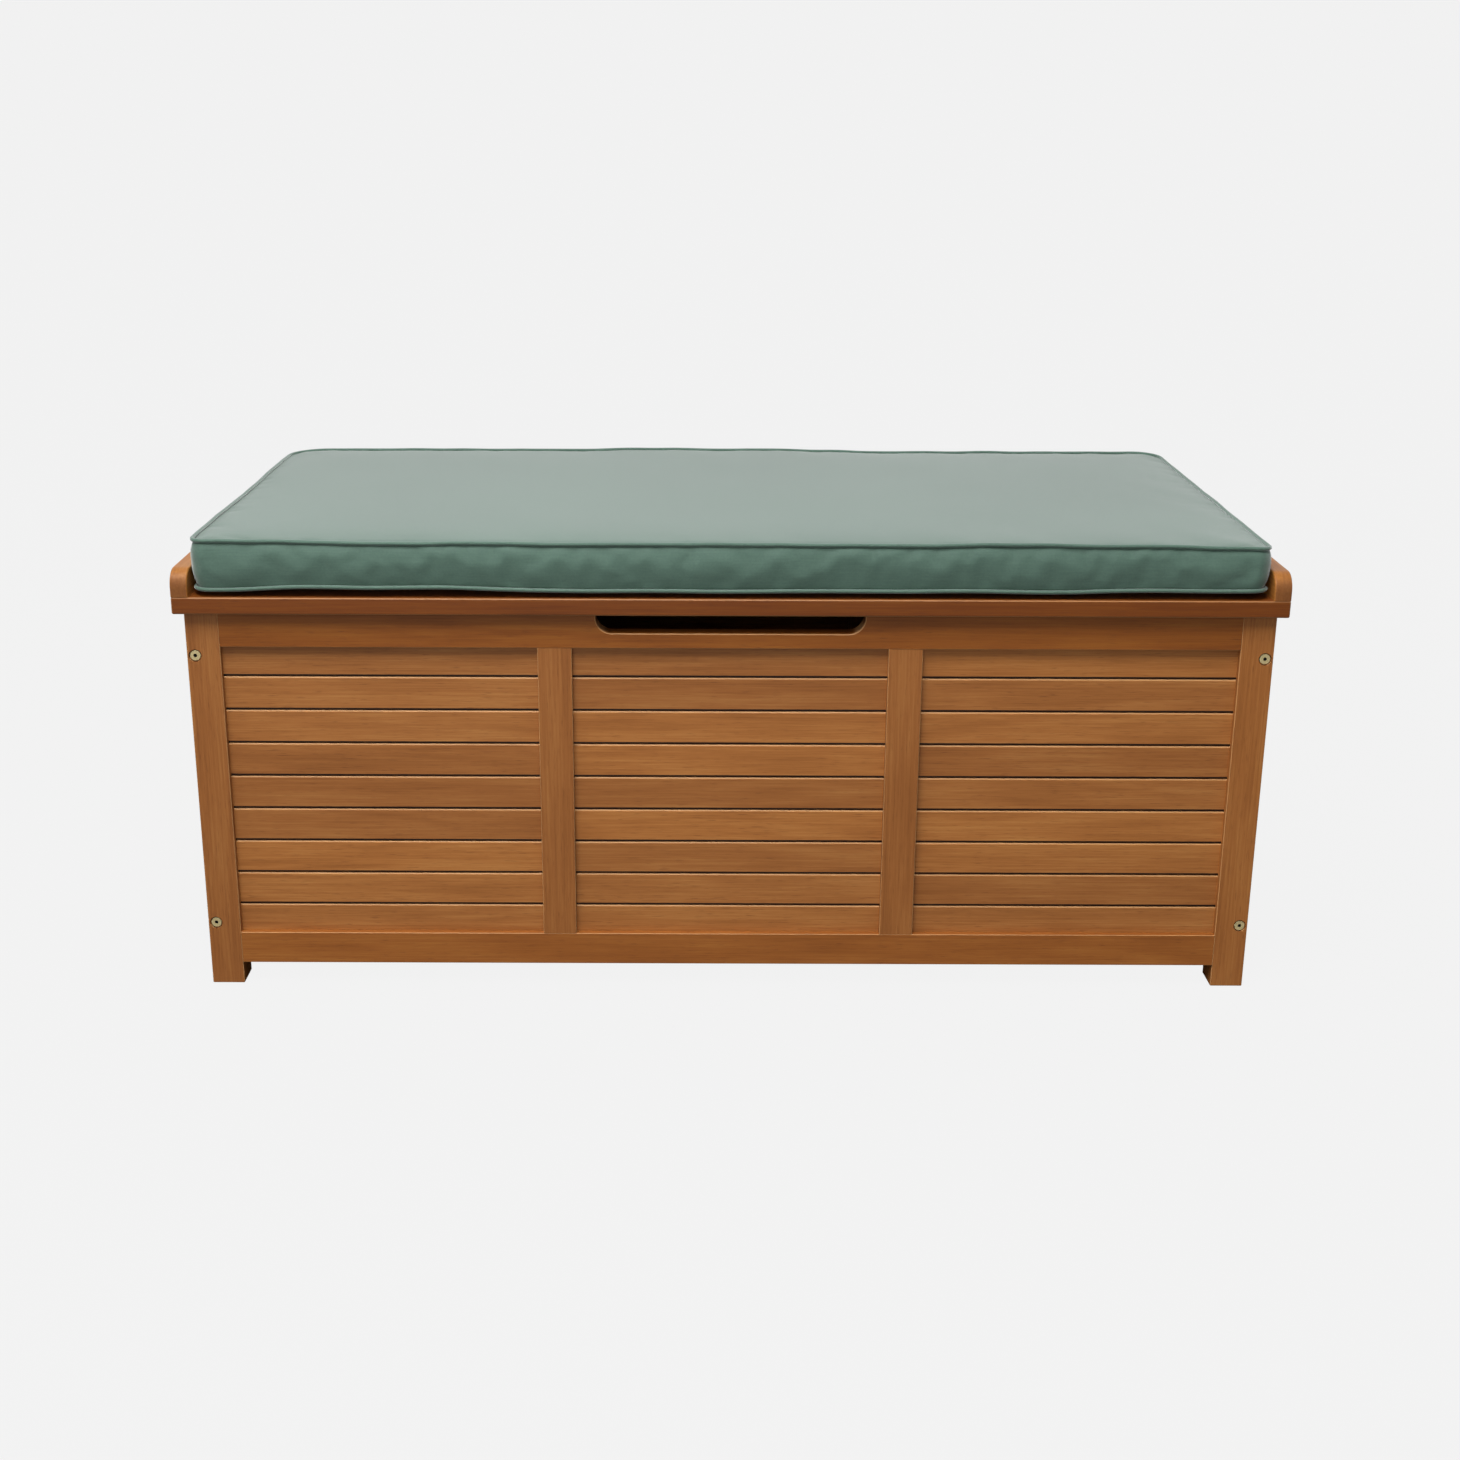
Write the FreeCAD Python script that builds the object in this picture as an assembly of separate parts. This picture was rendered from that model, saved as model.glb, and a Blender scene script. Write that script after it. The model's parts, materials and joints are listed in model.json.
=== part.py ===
import FreeCAD, Part
import math
import os

# Timber deck storage box with a padded seat: four panels bolted together at the corner posts,
# a boarded floor, and a hinged lid that carries a loose cushion and rises on two gas struts.
# Millimetres. X runs along the box, Y from its front to its back, Z up. The origin is on the
# ground, under the middle of the closed box.

V = FreeCAD.Vector
AXIS_X = V(1, 0, 0)
AXIS_Y = V(0, 1, 0)
AXIS_Z = V(0, 0, 1)
ORIGIN = V(0, 0, 0)

# ---- body: posts, rails and panels ----
body_width = 1200.0
body_depth = 600.0
body_height = 446.0
post_size = 37.0
foot_clearance = 26.0
rail_thickness = 22.0
top_rail_height = 40.0
bottom_rail_height = 38.0
muntin_width = 38.0
side_frame_thickness = 18.0
side_stile_width = 37.0
timber_easing = 1.0
post_easing = 1.2

# ---- tongued slats that fill every panel ----
slat_count = 9
slat_thickness = 9.0
slat_recess = 8.0
side_slat_recess = 5.0
slat_seat = 5.0
groove_depth = 6.0
groove_play = 0.2
slat_joint_gap = 1.8
slat_edge_radius = 2.4
tongue_thickness = 3.0
tongue_bite = 3.5
tongue_play = 0.25

# ---- hand notch in the front top rail ----
notch_length = 297.0
notch_depth = 23.0
notch_radius = 18.0

# ---- dowels, corner bolts and barrel nuts ----
dowel_radius = 4.0
dowel_length = 34.0
dowel_end_play = 1.0
dowel_pair_spacing = 16.0
bolt_radius = 3.0
bolt_clearance = 0.25
bolt_head_radius = 6.0
bolt_head_height = 2.2
bolt_head_sink = 1.0
bolt_head_play = 1.2
bolt_socket_width = 4.0
bolt_socket_depth = 3.2
bolt_end_distance = 50.0
bolt_tip_past_nut = 4.0
barrel_radius = 5.0
barrel_length = 13.0
barrel_play = 0.1
barrel_thread_play = 0.05
barrel_setback = 20.0

# ---- floor ----
bearer_width = 30.0
bearer_height = 20.0
floor_board_count = 7
floor_board_thickness = 12.0
floor_board_gap = 5.0
floor_edge_play = 2.0

# ---- lid ----
lid_side_overhang = 10.0
lid_front_overhang = 12.0
lid_board_count = 7
lid_board_thickness = 19.0
lid_board_gap = 6.0
lid_easing = 2.0
batten_width = 45.0
batten_thickness = 20.0
batten_play = 3.0
inner_batten_x = 180.0
curb_width = 19.0
curb_height = 30.0
curb_nose_radius = 20.0

# ---- hinges ----
hinge_count = 3
hinge_spacing = 430.0
hinge_length = 70.0
leaf_width = 18.0
leaf_thickness = 2.0
leaf_play = 0.2
knuckle_count = 5
knuckle_radius = 3.5
knuckle_end_play = 0.15
knuckle_side_play = 0.3
pin_radius = 2.0
pin_running_play = 0.05
pin_offset = 4.0
hinge_screw_spread = 24.0
hinge_screw_inset = 10.0

# ---- wood screws: head radius, shank radius, length ----
HINGE_SCREW = (3.3, 1.7, 14.0)
BATTEN_SCREW = (3.8, 2.0, 32.0)
CURB_SCREW = (3.8, 2.0, 38.0)
BRACKET_SCREW = (3.0, 1.5, 12.0)
screw_point_length = 3.0
screw_slot_width = 0.9
screw_slot_depth = 0.9
batten_screw_edge = 10.0

# ---- gas struts ----
lid_opening = 80.0
strut_lever = 230.0
strut_anchor_forward = 54.0
strut_ball_drop = 10.0
ball_radius = 5.0
ball_offset = 14.0
ball_neck_radius = 3.0
ball_play = 0.12
socket_radius = 7.0
socket_half_length = 6.0
socket_shank_radius = 5.5
socket_reach = 20.0
socket_mouth_radius = 4.3
tube_radius = 9.0
tube_wall = 1.2
tube_base = 3.0
gland_length = 10.0
piston_length = 10.0
piston_play = 0.2
rod_radius = 4.0
rod_running_play = 0.05
rod_shown_closed = 6.0
rod_kept_inside = 24.0
bracket_length = 40.0
bracket_width = 18.0
bracket_thickness = 2.0
bracket_screw_spread = 27.0

# ---- cushion ----
cushion_width = 1172.0
cushion_depth = 584.0
cushion_height = 54.5
cushion_corner_radius = 24.0
cushion_front_setback = 5.0
cushion_lift_gap = 0.3
cushion_edge_radius = 7.0
cover_thickness = 1.2
foam_play = 0.3
piping_radius = 2.75
piping_bite = 0.4

# ---- places worked out from the sizes above ----
overall_depth = lid_front_overhang + body_depth + pin_offset + knuckle_radius
lid_front_y = -overall_depth / 2
body_front_y = lid_front_y + lid_front_overhang
body_back_y = body_front_y + body_depth
body_middle_y = (body_front_y + body_back_y) / 2
pin_y = body_back_y + pin_offset
half_width = body_width / 2

rail_length = body_width - 2 * post_size
bay_width = (rail_length - 2 * muntin_width) / 3
muntin_x = (bay_width + muntin_width) / 2
side_frame_length = body_depth - 2 * post_size
side_rail_length = side_frame_length - 2 * side_stile_width
bottom_rail_top = foot_clearance + bottom_rail_height
top_rail_bottom = body_height - top_rail_height
slat_zone_bottom = bottom_rail_top - slat_seat
slat_pitch = (top_rail_bottom - bottom_rail_top + 2 * slat_seat) / slat_count

floor_bottom = foot_clearance + bearer_height
floor_top = floor_bottom + floor_board_thickness

lid_half_width = half_width + lid_side_overhang
lid_bottom = body_height
lid_top = lid_bottom + lid_board_thickness
lid_depth = lid_front_overhang + body_depth
lid_board_width = (lid_depth - (lid_board_count - 1) * lid_board_gap) / lid_board_count
batten_front_y = body_front_y + rail_thickness + batten_play
batten_back_y = body_back_y - rail_thickness - batten_play

side_inner_x = half_width - side_frame_thickness
strut_x = side_inner_x - ball_offset
end_batten_outer_x = strut_x - ball_offset
end_batten_x = end_batten_outer_x - batten_width / 2
anchor_y = pin_y - strut_anchor_forward
anchor_z = body_height - math.sqrt(strut_lever**2 - strut_anchor_forward**2)
lid_ball_y = pin_y - math.sqrt(strut_lever**2 - strut_ball_drop**2)
lid_ball_z = body_height - strut_ball_drop
closed_reach = math.hypot(lid_ball_y - anchor_y, lid_ball_z - anchor_z)
closed_angle = 2 * math.asin(closed_reach / 2 / strut_lever)
open_reach = 2 * strut_lever * math.sin(closed_angle / 2 + math.radians(lid_opening / 2))
tube_length = closed_reach - 2 * socket_reach - rod_shown_closed
rod_length = open_reach - 2 * socket_reach - tube_length + rod_kept_inside

piping_reach = cushion_edge_radius + piping_radius - piping_bite
piping_stand = piping_reach * math.sqrt(0.5) - cushion_edge_radius
cushion_bottom = lid_top + cushion_lift_gap + piping_stand + piping_radius
cushion_top = cushion_bottom + cushion_height
cushion_front_y = lid_front_y + cushion_front_setback

nodes = {}


# ---- helpers ----
def block(x0, x1, y0, y1, z0, z1):
    """A rectangular solid between two corners."""
    return Part.makeBox(x1 - x0, y1 - y0, z1 - z0, V(x0, y0, z0))


def rod_between(start, end, radius):
    """A round bar from one point to another."""
    return Part.makeCylinder(radius, start.distanceToPoint(end), start, end - start)


def ease(shape, radius, axis=None):
    """Rounds the straight edges that run along an axis, or every edge."""
    chosen = []
    for edge in shape.Edges:
        if axis is None:
            chosen.append(edge)
            continue
        run = edge.Vertexes[-1].Point - edge.Vertexes[0].Point
        if run.Length > 1e-6 and run.cross(axis).Length < 1e-6:
            chosen.append(edge)
    return shape.makeFillet(radius, chosen)


def cut_all(shape, tools):
    """Takes every tool out of a solid."""
    if not tools:
        return shape
    return shape.cut(Part.makeCompound(tools))


def mirrored(shape):
    """The same piece on the other side of the box's middle."""
    return shape.mirror(ORIGIN, AXIS_X)


def turned(shape, degrees, axis, centre=ORIGIN):
    """A copy turned about an axis through a point."""
    copy = shape.copy()
    copy.rotate(centre, axis, degrees)
    return copy


def moved(shape, offset):
    """A copy moved by a vector."""
    copy = shape.copy()
    copy.translate(offset)
    return copy


# A panel is built lying along X with its outer face on Y = 0 and its thickness towards +Y.
def to_front(shape):
    return moved(shape, V(0, body_front_y, 0))


def to_back(shape):
    return moved(turned(shape, 180, AXIS_Z), V(0, body_back_y, 0))


def to_left(shape):
    return moved(turned(shape, -90, AXIS_Z), V(-half_width, body_middle_y, 0))


def to_right(shape):
    return moved(turned(shape, 90, AXIS_Z), V(half_width, body_middle_y, 0))


# ---- fasteners ----
def screw_envelope(kind):
    """A countersunk screw's outside, head flush at the origin and point towards -Z."""
    head, shank, length = kind
    outline = [
        V(0, 0, 0),
        V(head, 0, 0),
        V(shank, 0, shank - head),
        V(shank, 0, screw_point_length - length),
        V(0, 0, -length),
        V(0, 0, 0),
    ]
    return Part.Face(Part.makePolygon(outline)).revolve(ORIGIN, AXIS_Z, 360)


def screw(kind):
    """The screw with a cross recess in its head."""
    reach = kind[0] * 0.6
    half = screw_slot_width / 2
    along_x = block(-reach, reach, -half, half, -screw_slot_depth, 1)
    along_y = block(-half, half, -reach, reach, -screw_slot_depth, 1)
    return screw_envelope(kind).cut(along_x.fuse(along_y))


def drive(shape, point, into):
    """Puts a screw or its hole at a point, driven in a direction."""
    turn = FreeCAD.Rotation(V(0, 0, -1), into)
    copy = shape.copy()
    copy.Placement = FreeCAD.Placement(point, turn)
    return copy


def driven(kind, points, into):
    """The screws and the holes for a row of points."""
    whole, hole = screw(kind), screw_envelope(kind)
    return [drive(whole, p, into) for p in points], [drive(hole, p, into) for p in points]


def dowel_and_hole(point, along):
    """A dowel centred on a joint face, and the hole it sits in."""
    half = dowel_length / 2
    dowel = rod_between(point - along * half, point + along * half, dowel_radius)
    dowel = dowel.makeChamfer(1.0, [e for e in dowel.Edges if e.Closed])
    far = half + dowel_end_play
    return dowel, rod_between(point - along * far, point + along * far, dowel_radius)


# ---- slats ----
def slat_face(top_slat):
    """A slat's section: Y is its thickness from the outer face, Z its height."""
    height = slat_pitch - (0 if top_slat else slat_joint_gap)
    radius = slat_edge_radius
    tongue_front = (slat_thickness - tongue_thickness) / 2
    tongue_back = tongue_front + tongue_thickness
    groove_front = tongue_front - tongue_play
    groove_back = tongue_back + tongue_play
    groove_top = tongue_bite + tongue_play * 2
    tongue_top = slat_pitch + tongue_bite
    arc_middle = V(0, radius * (1 - math.sqrt(0.5)), height - radius * (1 - math.sqrt(0.5)))
    edges = [
        Part.Arc(V(0, 0, height - radius), arc_middle, V(0, radius, height)).toShape()
    ]
    upper = [V(0, radius, height)]
    if not top_slat:
        upper += [
            V(0, tongue_front, height),
            V(0, tongue_front, tongue_top),
            V(0, tongue_back, tongue_top),
            V(0, tongue_back, height),
        ]
    outline = upper + [
        V(0, slat_thickness, height),
        V(0, slat_thickness, 0),
        V(0, groove_back, 0),
        V(0, groove_back, groove_top),
        V(0, groove_front, groove_top),
        V(0, groove_front, 0),
        V(0, 0, 0),
        V(0, 0, height - radius),
    ]
    edges += [Part.makeLine(a, b) for a, b in zip(outline, outline[1:])]
    return Part.Face(Part.Wire(edges))


def slat_bay(x0, x1, recess):
    """All the slats between two uprights, seated in the grooves round the bay."""
    length = x1 - x0 + 2 * slat_seat
    slats = []
    for row in range(slat_count):
        slat = slat_face(row == slat_count - 1).extrude(V(length, 0, 0))
        slats.append(moved(slat, V(x0 - slat_seat, recess, slat_zone_bottom + row * slat_pitch)))
    return slats


def slat_groove(x0, x1, z0, z1, recess):
    """The channel that takes the slats' edges or ends."""
    return block(
        x0, x1, recess - groove_play, recess + slat_thickness + groove_play, z0, z1
    )


# ---- framed panels ----
def rails(length, thickness, recess):
    """The top and bottom rail between two uprights, grooved for the slats."""
    half = length / 2
    top = ease(
        block(-half, half, 0, thickness, top_rail_bottom, body_height), timber_easing, AXIS_X
    )
    bottom = ease(
        block(-half, half, 0, thickness, foot_clearance, bottom_rail_top), timber_easing, AXIS_X
    )
    top_groove = slat_groove(-half, half, top_rail_bottom, top_rail_bottom + groove_depth, recess)
    bottom_groove = slat_groove(-half, half, bottom_rail_top - groove_depth, bottom_rail_top, recess)
    return top.cut(top_groove), bottom.cut(bottom_groove)


def rail_dowels(x, thickness):
    """The dowel pairs that join both rails to an upright at x."""
    made = []
    middles = (
        (top_rail_bottom + body_height) / 2,
        (foot_clearance + bottom_rail_top) / 2,
    )
    for middle in middles:
        for side in (-1, 1):
            z = middle + side * dowel_pair_spacing / 2
            made.append(dowel_and_hole(V(x, thickness / 2, z), AXIS_X))
    return made


def long_panel(notched):
    """A front or back panel without its posts: rails, muntins, slats and dowels."""
    top, bottom = rails(rail_length, rail_thickness, slat_recess)
    if notched:
        top = top.cut(hand_notch())
    joints = rail_dowels(-rail_length / 2, rail_thickness) + rail_dowels(
        rail_length / 2, rail_thickness
    )
    muntins = []
    for x in (-muntin_x, muntin_x):
        x0, x1 = x - muntin_width / 2, x + muntin_width / 2
        muntin = ease(
            block(x0, x1, 0, rail_thickness, bottom_rail_top, top_rail_bottom),
            timber_easing,
            AXIS_Z,
        )
        grooves = [
            slat_groove(x0, x0 + groove_depth, bottom_rail_top, top_rail_bottom, slat_recess),
            slat_groove(x1 - groove_depth, x1, bottom_rail_top, top_rail_bottom, slat_recess),
        ]
        muntins.append(cut_all(muntin, grooves))
        for z in (bottom_rail_top, top_rail_bottom):
            joints.append(dowel_and_hole(V(x, rail_thickness / 2, z), AXIS_Z))
    holes = [hole for _, hole in joints]
    half = rail_length / 2
    inner = muntin_x - muntin_width / 2
    outer = muntin_x + muntin_width / 2
    return {
        "top": cut_all(top, holes),
        "bottom": cut_all(bottom, holes),
        "muntins": [cut_all(m, holes) for m in muntins],
        "left": slat_bay(-half, -outer, slat_recess),
        "middle": slat_bay(-inner, inner, slat_recess),
        "right": slat_bay(outer, half, slat_recess),
        "dowels": [dowel for dowel, _ in joints],
        "holes": holes,
    }


def hand_notch():
    """The opening in the front top rail, with round lower corners and eased lips."""
    half = notch_length / 2
    floor = body_height - notch_depth
    notch = block(
        -half, half, 0, rail_thickness, floor, body_height + notch_radius
    )
    corners = [
        e
        for e in notch.Edges
        if abs(e.CenterOfMass.z - floor) < 1e-6 and abs(abs(e.CenterOfMass.x) - half) < 1e-6
    ]
    notch = notch.makeFillet(notch_radius, corners)
    lips = []
    for outline, outward in ((0.0, -1), (rail_thickness, 1)):
        face = next(
            f for f in notch.Faces
            if abs(f.CenterOfMass.y - outline) < 1e-6 and abs(f.normalAt(0, 0).y) > 0.99
        )
        wide = face.OuterWire.makeOffset2D(timber_easing)
        lips.append(lip_flare(face.OuterWire, wide, outward))
    return fused(notch, lips)


def lip_flare(narrow, wide, outward):
    """A flare from an opening's outline to a wider one at the timber's face."""
    inside = narrow.copy()
    inside.translate(V(0, -outward * timber_easing, 0))
    return Part.makeLoft([inside, wide], True, True)


def fused(first, others):
    """One cutting tool made of several."""
    for other in others:
        first = first.fuse(other)
    return first


def side_panel():
    """A side panel: two stiles, two rails, slats and dowels."""
    half = side_rail_length / 2
    top, bottom = rails(side_rail_length, side_frame_thickness, side_slat_recess)
    joints = rail_dowels(-half, side_frame_thickness) + rail_dowels(half, side_frame_thickness)
    holes = [hole for _, hole in joints]
    stiles = []
    for side in (-1, 1):
        near, far = sorted((side * half, side * (half + side_stile_width)))
        stile = ease(
            block(near, far, 0, side_frame_thickness, foot_clearance, body_height),
            timber_easing,
            AXIS_Z,
        )
        lip, deep = sorted((side * half, side * (half + groove_depth)))
        groove = slat_groove(
            lip, deep, bottom_rail_top - groove_depth, top_rail_bottom + groove_depth,
            side_slat_recess,
        )
        stiles.append(cut_all(stile, holes + [groove]))
    return {
        "top": cut_all(top, holes),
        "bottom": cut_all(bottom, holes),
        "stiles": stiles,
        "slats": slat_bay(-half, half, side_slat_recess),
        "dowels": [dowel for dowel, _ in joints],
    }


# ---- corner posts and the bolts through them ----
def post(panel_holes):
    """The left post of a long panel, in the panel's own place."""
    x0 = -half_width
    x1 = x0 + post_size
    made = ease(block(x0, x1, 0, post_size, 0, body_height), post_easing, AXIS_Z)
    foot = [e for e in made.Edges if abs(e.BoundBox.ZMax) < 1e-6]
    made = made.makeFillet(timber_easing, foot)
    groove = slat_groove(
        x1 - groove_depth, x1, bottom_rail_top - groove_depth, top_rail_bottom + groove_depth,
        slat_recess,
    )
    return cut_all(made, panel_holes + [groove] + [hole for _, hole, _ in corner_bolts()])


def corner_bolts():
    """The bolts, their holes and their barrel nuts at the left end of a long panel."""
    x = -half_width + side_frame_thickness / 2
    nut_y = post_size + barrel_setback
    tip_y = nut_y + barrel_radius + bolt_tip_past_nut
    made = []
    for z in (foot_clearance + bolt_end_distance, body_height - bolt_end_distance):
        head_y = bolt_head_sink
        seat_y = head_y + bolt_head_height
        head = rod_between(V(x, head_y, z), V(x, seat_y, z), bolt_head_radius)
        rim = [e for e in head.Edges if e.Closed and abs(e.BoundBox.YMax - head_y) < 1e-6]
        head = head.makeFillet(bolt_head_height * 0.3, rim)
        shank = rod_between(V(x, seat_y, z), V(x, tip_y, z), bolt_radius)
        bolt = head.fuse(shank).removeSplitter().cut(hex_pocket(x, head_y, z))
        hole = rod_between(
            V(x, 0, z), V(x, tip_y + dowel_end_play, z), bolt_radius + bolt_clearance
        )
        recess = rod_between(V(x, 0, z), V(x, seat_y, z), bolt_head_radius + bolt_head_play)
        nut_end = -side_inner_x
        nut = rod_between(V(nut_end, nut_y, z), V(nut_end - barrel_length, nut_y, z), barrel_radius)
        thread = rod_between(
            V(x, nut_y - 2 * barrel_radius, z),
            V(x, nut_y + 2 * barrel_radius, z),
            bolt_radius + barrel_thread_play,
        )
        made.append((bolt, hole.fuse(recess), nut.cut(thread)))
    return made


def hex_pocket(x, y, z):
    """The hexagon socket in a bolt's head."""
    reach = bolt_socket_width / math.sqrt(3)
    corners = [
        V(x + reach * math.cos(math.radians(60 * k)), y, z + reach * math.sin(math.radians(60 * k)))
        for k in range(7)
    ]
    return Part.Face(Part.makePolygon(corners)).extrude(V(0, bolt_socket_depth, 0))


def nut_pockets():
    """Holes for the barrel nuts, drilled from inside the left side panel."""
    nut_y = post_size + barrel_setback
    inside = -side_inner_x
    bottom = inside - barrel_length - barrel_play
    return [
        rod_between(V(inside, nut_y, z), V(bottom, nut_y, z), barrel_radius + barrel_play)
        for z in (foot_clearance + bolt_end_distance, body_height - bolt_end_distance)
    ]


def all_four_corners(shape):
    """A piece from the left end of a long panel, copied to every corner of the box."""
    return [
        to_front(shape),
        to_front(mirrored(shape)),
        to_back(shape),
        to_back(mirrored(shape)),
    ]


# ---- floor ----
def floor():
    """The bearers and the boards that lie on them, notched round the posts."""
    inner_front = body_front_y + rail_thickness
    inner_back = body_back_y - rail_thickness
    bearers = []
    for x in (-muntin_x, muntin_x):
        bearers.append(
            block(
                x - bearer_width / 2, x + bearer_width / 2, inner_front, inner_back,
                foot_clearance, floor_bottom,
            )
        )
    for side in (-1, 1):
        near, far = sorted((side * side_inner_x, side * (side_inner_x - bearer_height)))
        bearers.append(
            block(
                near, far, body_front_y + post_size, body_back_y - post_size,
                foot_clearance, floor_bottom,
            )
        )
    bearers = [ease(b, timber_easing, AXIS_Y) for b in bearers]
    posts = []
    for x in (-1, 1):
        x0, x1 = sorted((x * half_width, x * (half_width - post_size - floor_edge_play)))
        for y0, y1 in (
            (body_front_y, body_front_y + post_size + floor_edge_play),
            (body_back_y - post_size - floor_edge_play, body_back_y),
        ):
            posts.append(block(x0, x1, y0, y1, 0, body_height))
    room = inner_back - inner_front - 2 * floor_edge_play
    width = (room - (floor_board_count - 1) * floor_board_gap) / floor_board_count
    reach = side_inner_x - floor_edge_play
    boards = []
    for row in range(floor_board_count):
        y0 = inner_front + floor_edge_play + row * (width + floor_board_gap)
        board = block(-reach, reach, y0, y0 + width, floor_bottom, floor_top)
        boards.append(cut_all(ease(board, timber_easing, AXIS_X), posts))
    return bearers, boards


# ---- hinges ----
def hinge_places():
    """The middle of each hinge along the box."""
    return [(k - (hinge_count - 1) / 2) * hinge_spacing for k in range(hinge_count)]


def hinge_leaf(upward, own_knuckles, bore):
    """A leaf with its knuckles, centred on X = 0. The body's leaf lies below the lid line."""
    z0, z1 = sorted((body_height, body_height + upward * leaf_thickness))
    half = hinge_length / 2
    plate_back = pin_y - knuckle_radius - knuckle_side_play
    leaf = block(-half, half, body_back_y - leaf_width, plate_back, z0, z1)
    span = hinge_length / knuckle_count
    for k in own_knuckles:
        x0 = -half + k * span + knuckle_end_play
        x1 = -half + (k + 1) * span - knuckle_end_play
        leaf = leaf.fuse(block(x0, x1, plate_back - 1, pin_y, z0, z1))
        leaf = leaf.fuse(rod_between(V(x0, pin_y, body_height), V(x1, pin_y, body_height), knuckle_radius))
    leaf = leaf.removeSplitter()
    return leaf.cut(rod_between(V(-half, pin_y, body_height), V(half, pin_y, body_height), bore))


def leaf_mortise(upward):
    """The pocket cut in the timber for a leaf."""
    z0, z1 = sorted((body_height, body_height + upward * leaf_thickness))
    half = hinge_length / 2 + leaf_play
    return block(-half, half, body_back_y - leaf_width - leaf_play, body_back_y + 1, z0, z1)


def hinge_screws(upward):
    """Screws and holes for one leaf, centred on X = 0."""
    y = body_back_y - hinge_screw_inset
    points = [V(x * hinge_screw_spread, y, body_height) for x in (-1, 0, 1)]
    return driven(HINGE_SCREW, points, V(0, 0, upward))


def hinge_set(upward, own_knuckles, bore):
    """All leaves, screws and cutting tools on one side of the hinge line."""
    screws, holes = hinge_screws(upward)
    leaf = cut_all(hinge_leaf(upward, own_knuckles, bore), holes)
    mortise = leaf_mortise(upward)
    leaves, all_screws, tools = [], [], []
    for x in hinge_places():
        shift = V(x, 0, 0)
        leaves.append(moved(leaf, shift))
        all_screws += [moved(s, shift) for s in screws]
        tools += [moved(t, shift) for t in holes + [mortise]]
    return leaves, all_screws, tools


# ---- gas struts, built for the right-hand end ----
def bracket(ball, towards_ball, along):
    """A plate with a ball stud, its screws and their holes. The plate's long side runs along."""
    face = ball - towards_ball * ball_offset
    side = towards_ball.cross(along)
    corner = face - along * (bracket_length / 2) - side * (bracket_width / 2)
    outline = [
        corner,
        corner + along * bracket_length,
        corner + along * bracket_length + side * bracket_width,
        corner + side * bracket_width,
        corner,
    ]
    plate = Part.Face(Part.makePolygon(outline)).extrude(towards_ball * bracket_thickness)
    plate = ease(plate, bracket_width / 4, towards_ball)
    made = plate.fuse(drive(ball_stud(), ball, towards_ball)).removeSplitter()
    front = face + towards_ball * bracket_thickness
    points = [front + along * (s * bracket_screw_spread / 2) for s in (-1, 1)]
    screws, holes = driven(BRACKET_SCREW, points, towards_ball * -1)
    return cut_all(made, holes), screws, holes


def ball_stud():
    """A ball on its neck, turned in one piece: ball centre at the origin, ball end towards -Z."""
    neck_meets = math.sqrt(ball_radius**2 - ball_neck_radius**2)
    outline = [
        Part.makeLine(V(0, 0, -ball_radius), V(0, 0, ball_offset)),
        Part.makeLine(V(0, 0, ball_offset), V(ball_neck_radius, 0, ball_offset)),
        Part.makeLine(V(ball_neck_radius, 0, ball_offset), V(ball_neck_radius, 0, neck_meets)),
        Part.Arc(
            V(ball_neck_radius, 0, neck_meets), V(ball_radius, 0, 0), V(0, 0, -ball_radius)
        ).toShape(),
    ]
    return Part.Face(Part.Wire(outline)).revolve(ORIGIN, AXIS_Z, 360)


def ball_socket(mouth):
    """An end fitting with its ball centre at the origin and its shank up +Z."""
    barrel = rod_between(V(-socket_half_length, 0, 0), V(socket_half_length, 0, 0), socket_radius)
    barrel = barrel.makeFillet(1.2, [e for e in barrel.Edges if e.Closed])
    shank = rod_between(ORIGIN, V(0, 0, socket_reach), socket_shank_radius)
    made = barrel.fuse(shank).removeSplitter()
    made = made.cut(Part.makeSphere(ball_radius + ball_play))
    opening = rod_between(ORIGIN, V(mouth * 2 * socket_half_length, 0, 0), socket_mouth_radius)
    return made.cut(opening)


def strut_tube():
    """The strut's pressure tube, closed at the end near its fitting."""
    outside = rod_between(
        V(0, 0, socket_reach), V(0, 0, socket_reach + tube_length), tube_radius
    )
    outside = outside.makeFillet(1.0, [e for e in outside.Edges if e.Closed])
    inside = rod_between(
        V(0, 0, socket_reach + tube_base),
        V(0, 0, socket_reach + tube_length),
        tube_radius - tube_wall,
    )
    return outside.cut(inside)


def strut_gland():
    """The ring that guides the rod at the tube's mouth."""
    end = socket_reach + tube_length
    ring = rod_between(V(0, 0, end - gland_length), V(0, 0, end), tube_radius - tube_wall)
    return ring.cut(
        rod_between(V(0, 0, end - gland_length), V(0, 0, end), rod_radius + rod_running_play)
    )


def strut_rod():
    """The polished rod, from its fitting to its piston."""
    return rod_between(
        V(0, 0, socket_reach), V(0, 0, socket_reach + rod_length - piston_length), rod_radius
    )


def strut_piston():
    """The piston on the rod's inner end."""
    end = socket_reach + rod_length
    return rod_between(
        V(0, 0, end - piston_length), V(0, 0, end), tube_radius - tube_wall - piston_play
    )


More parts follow.
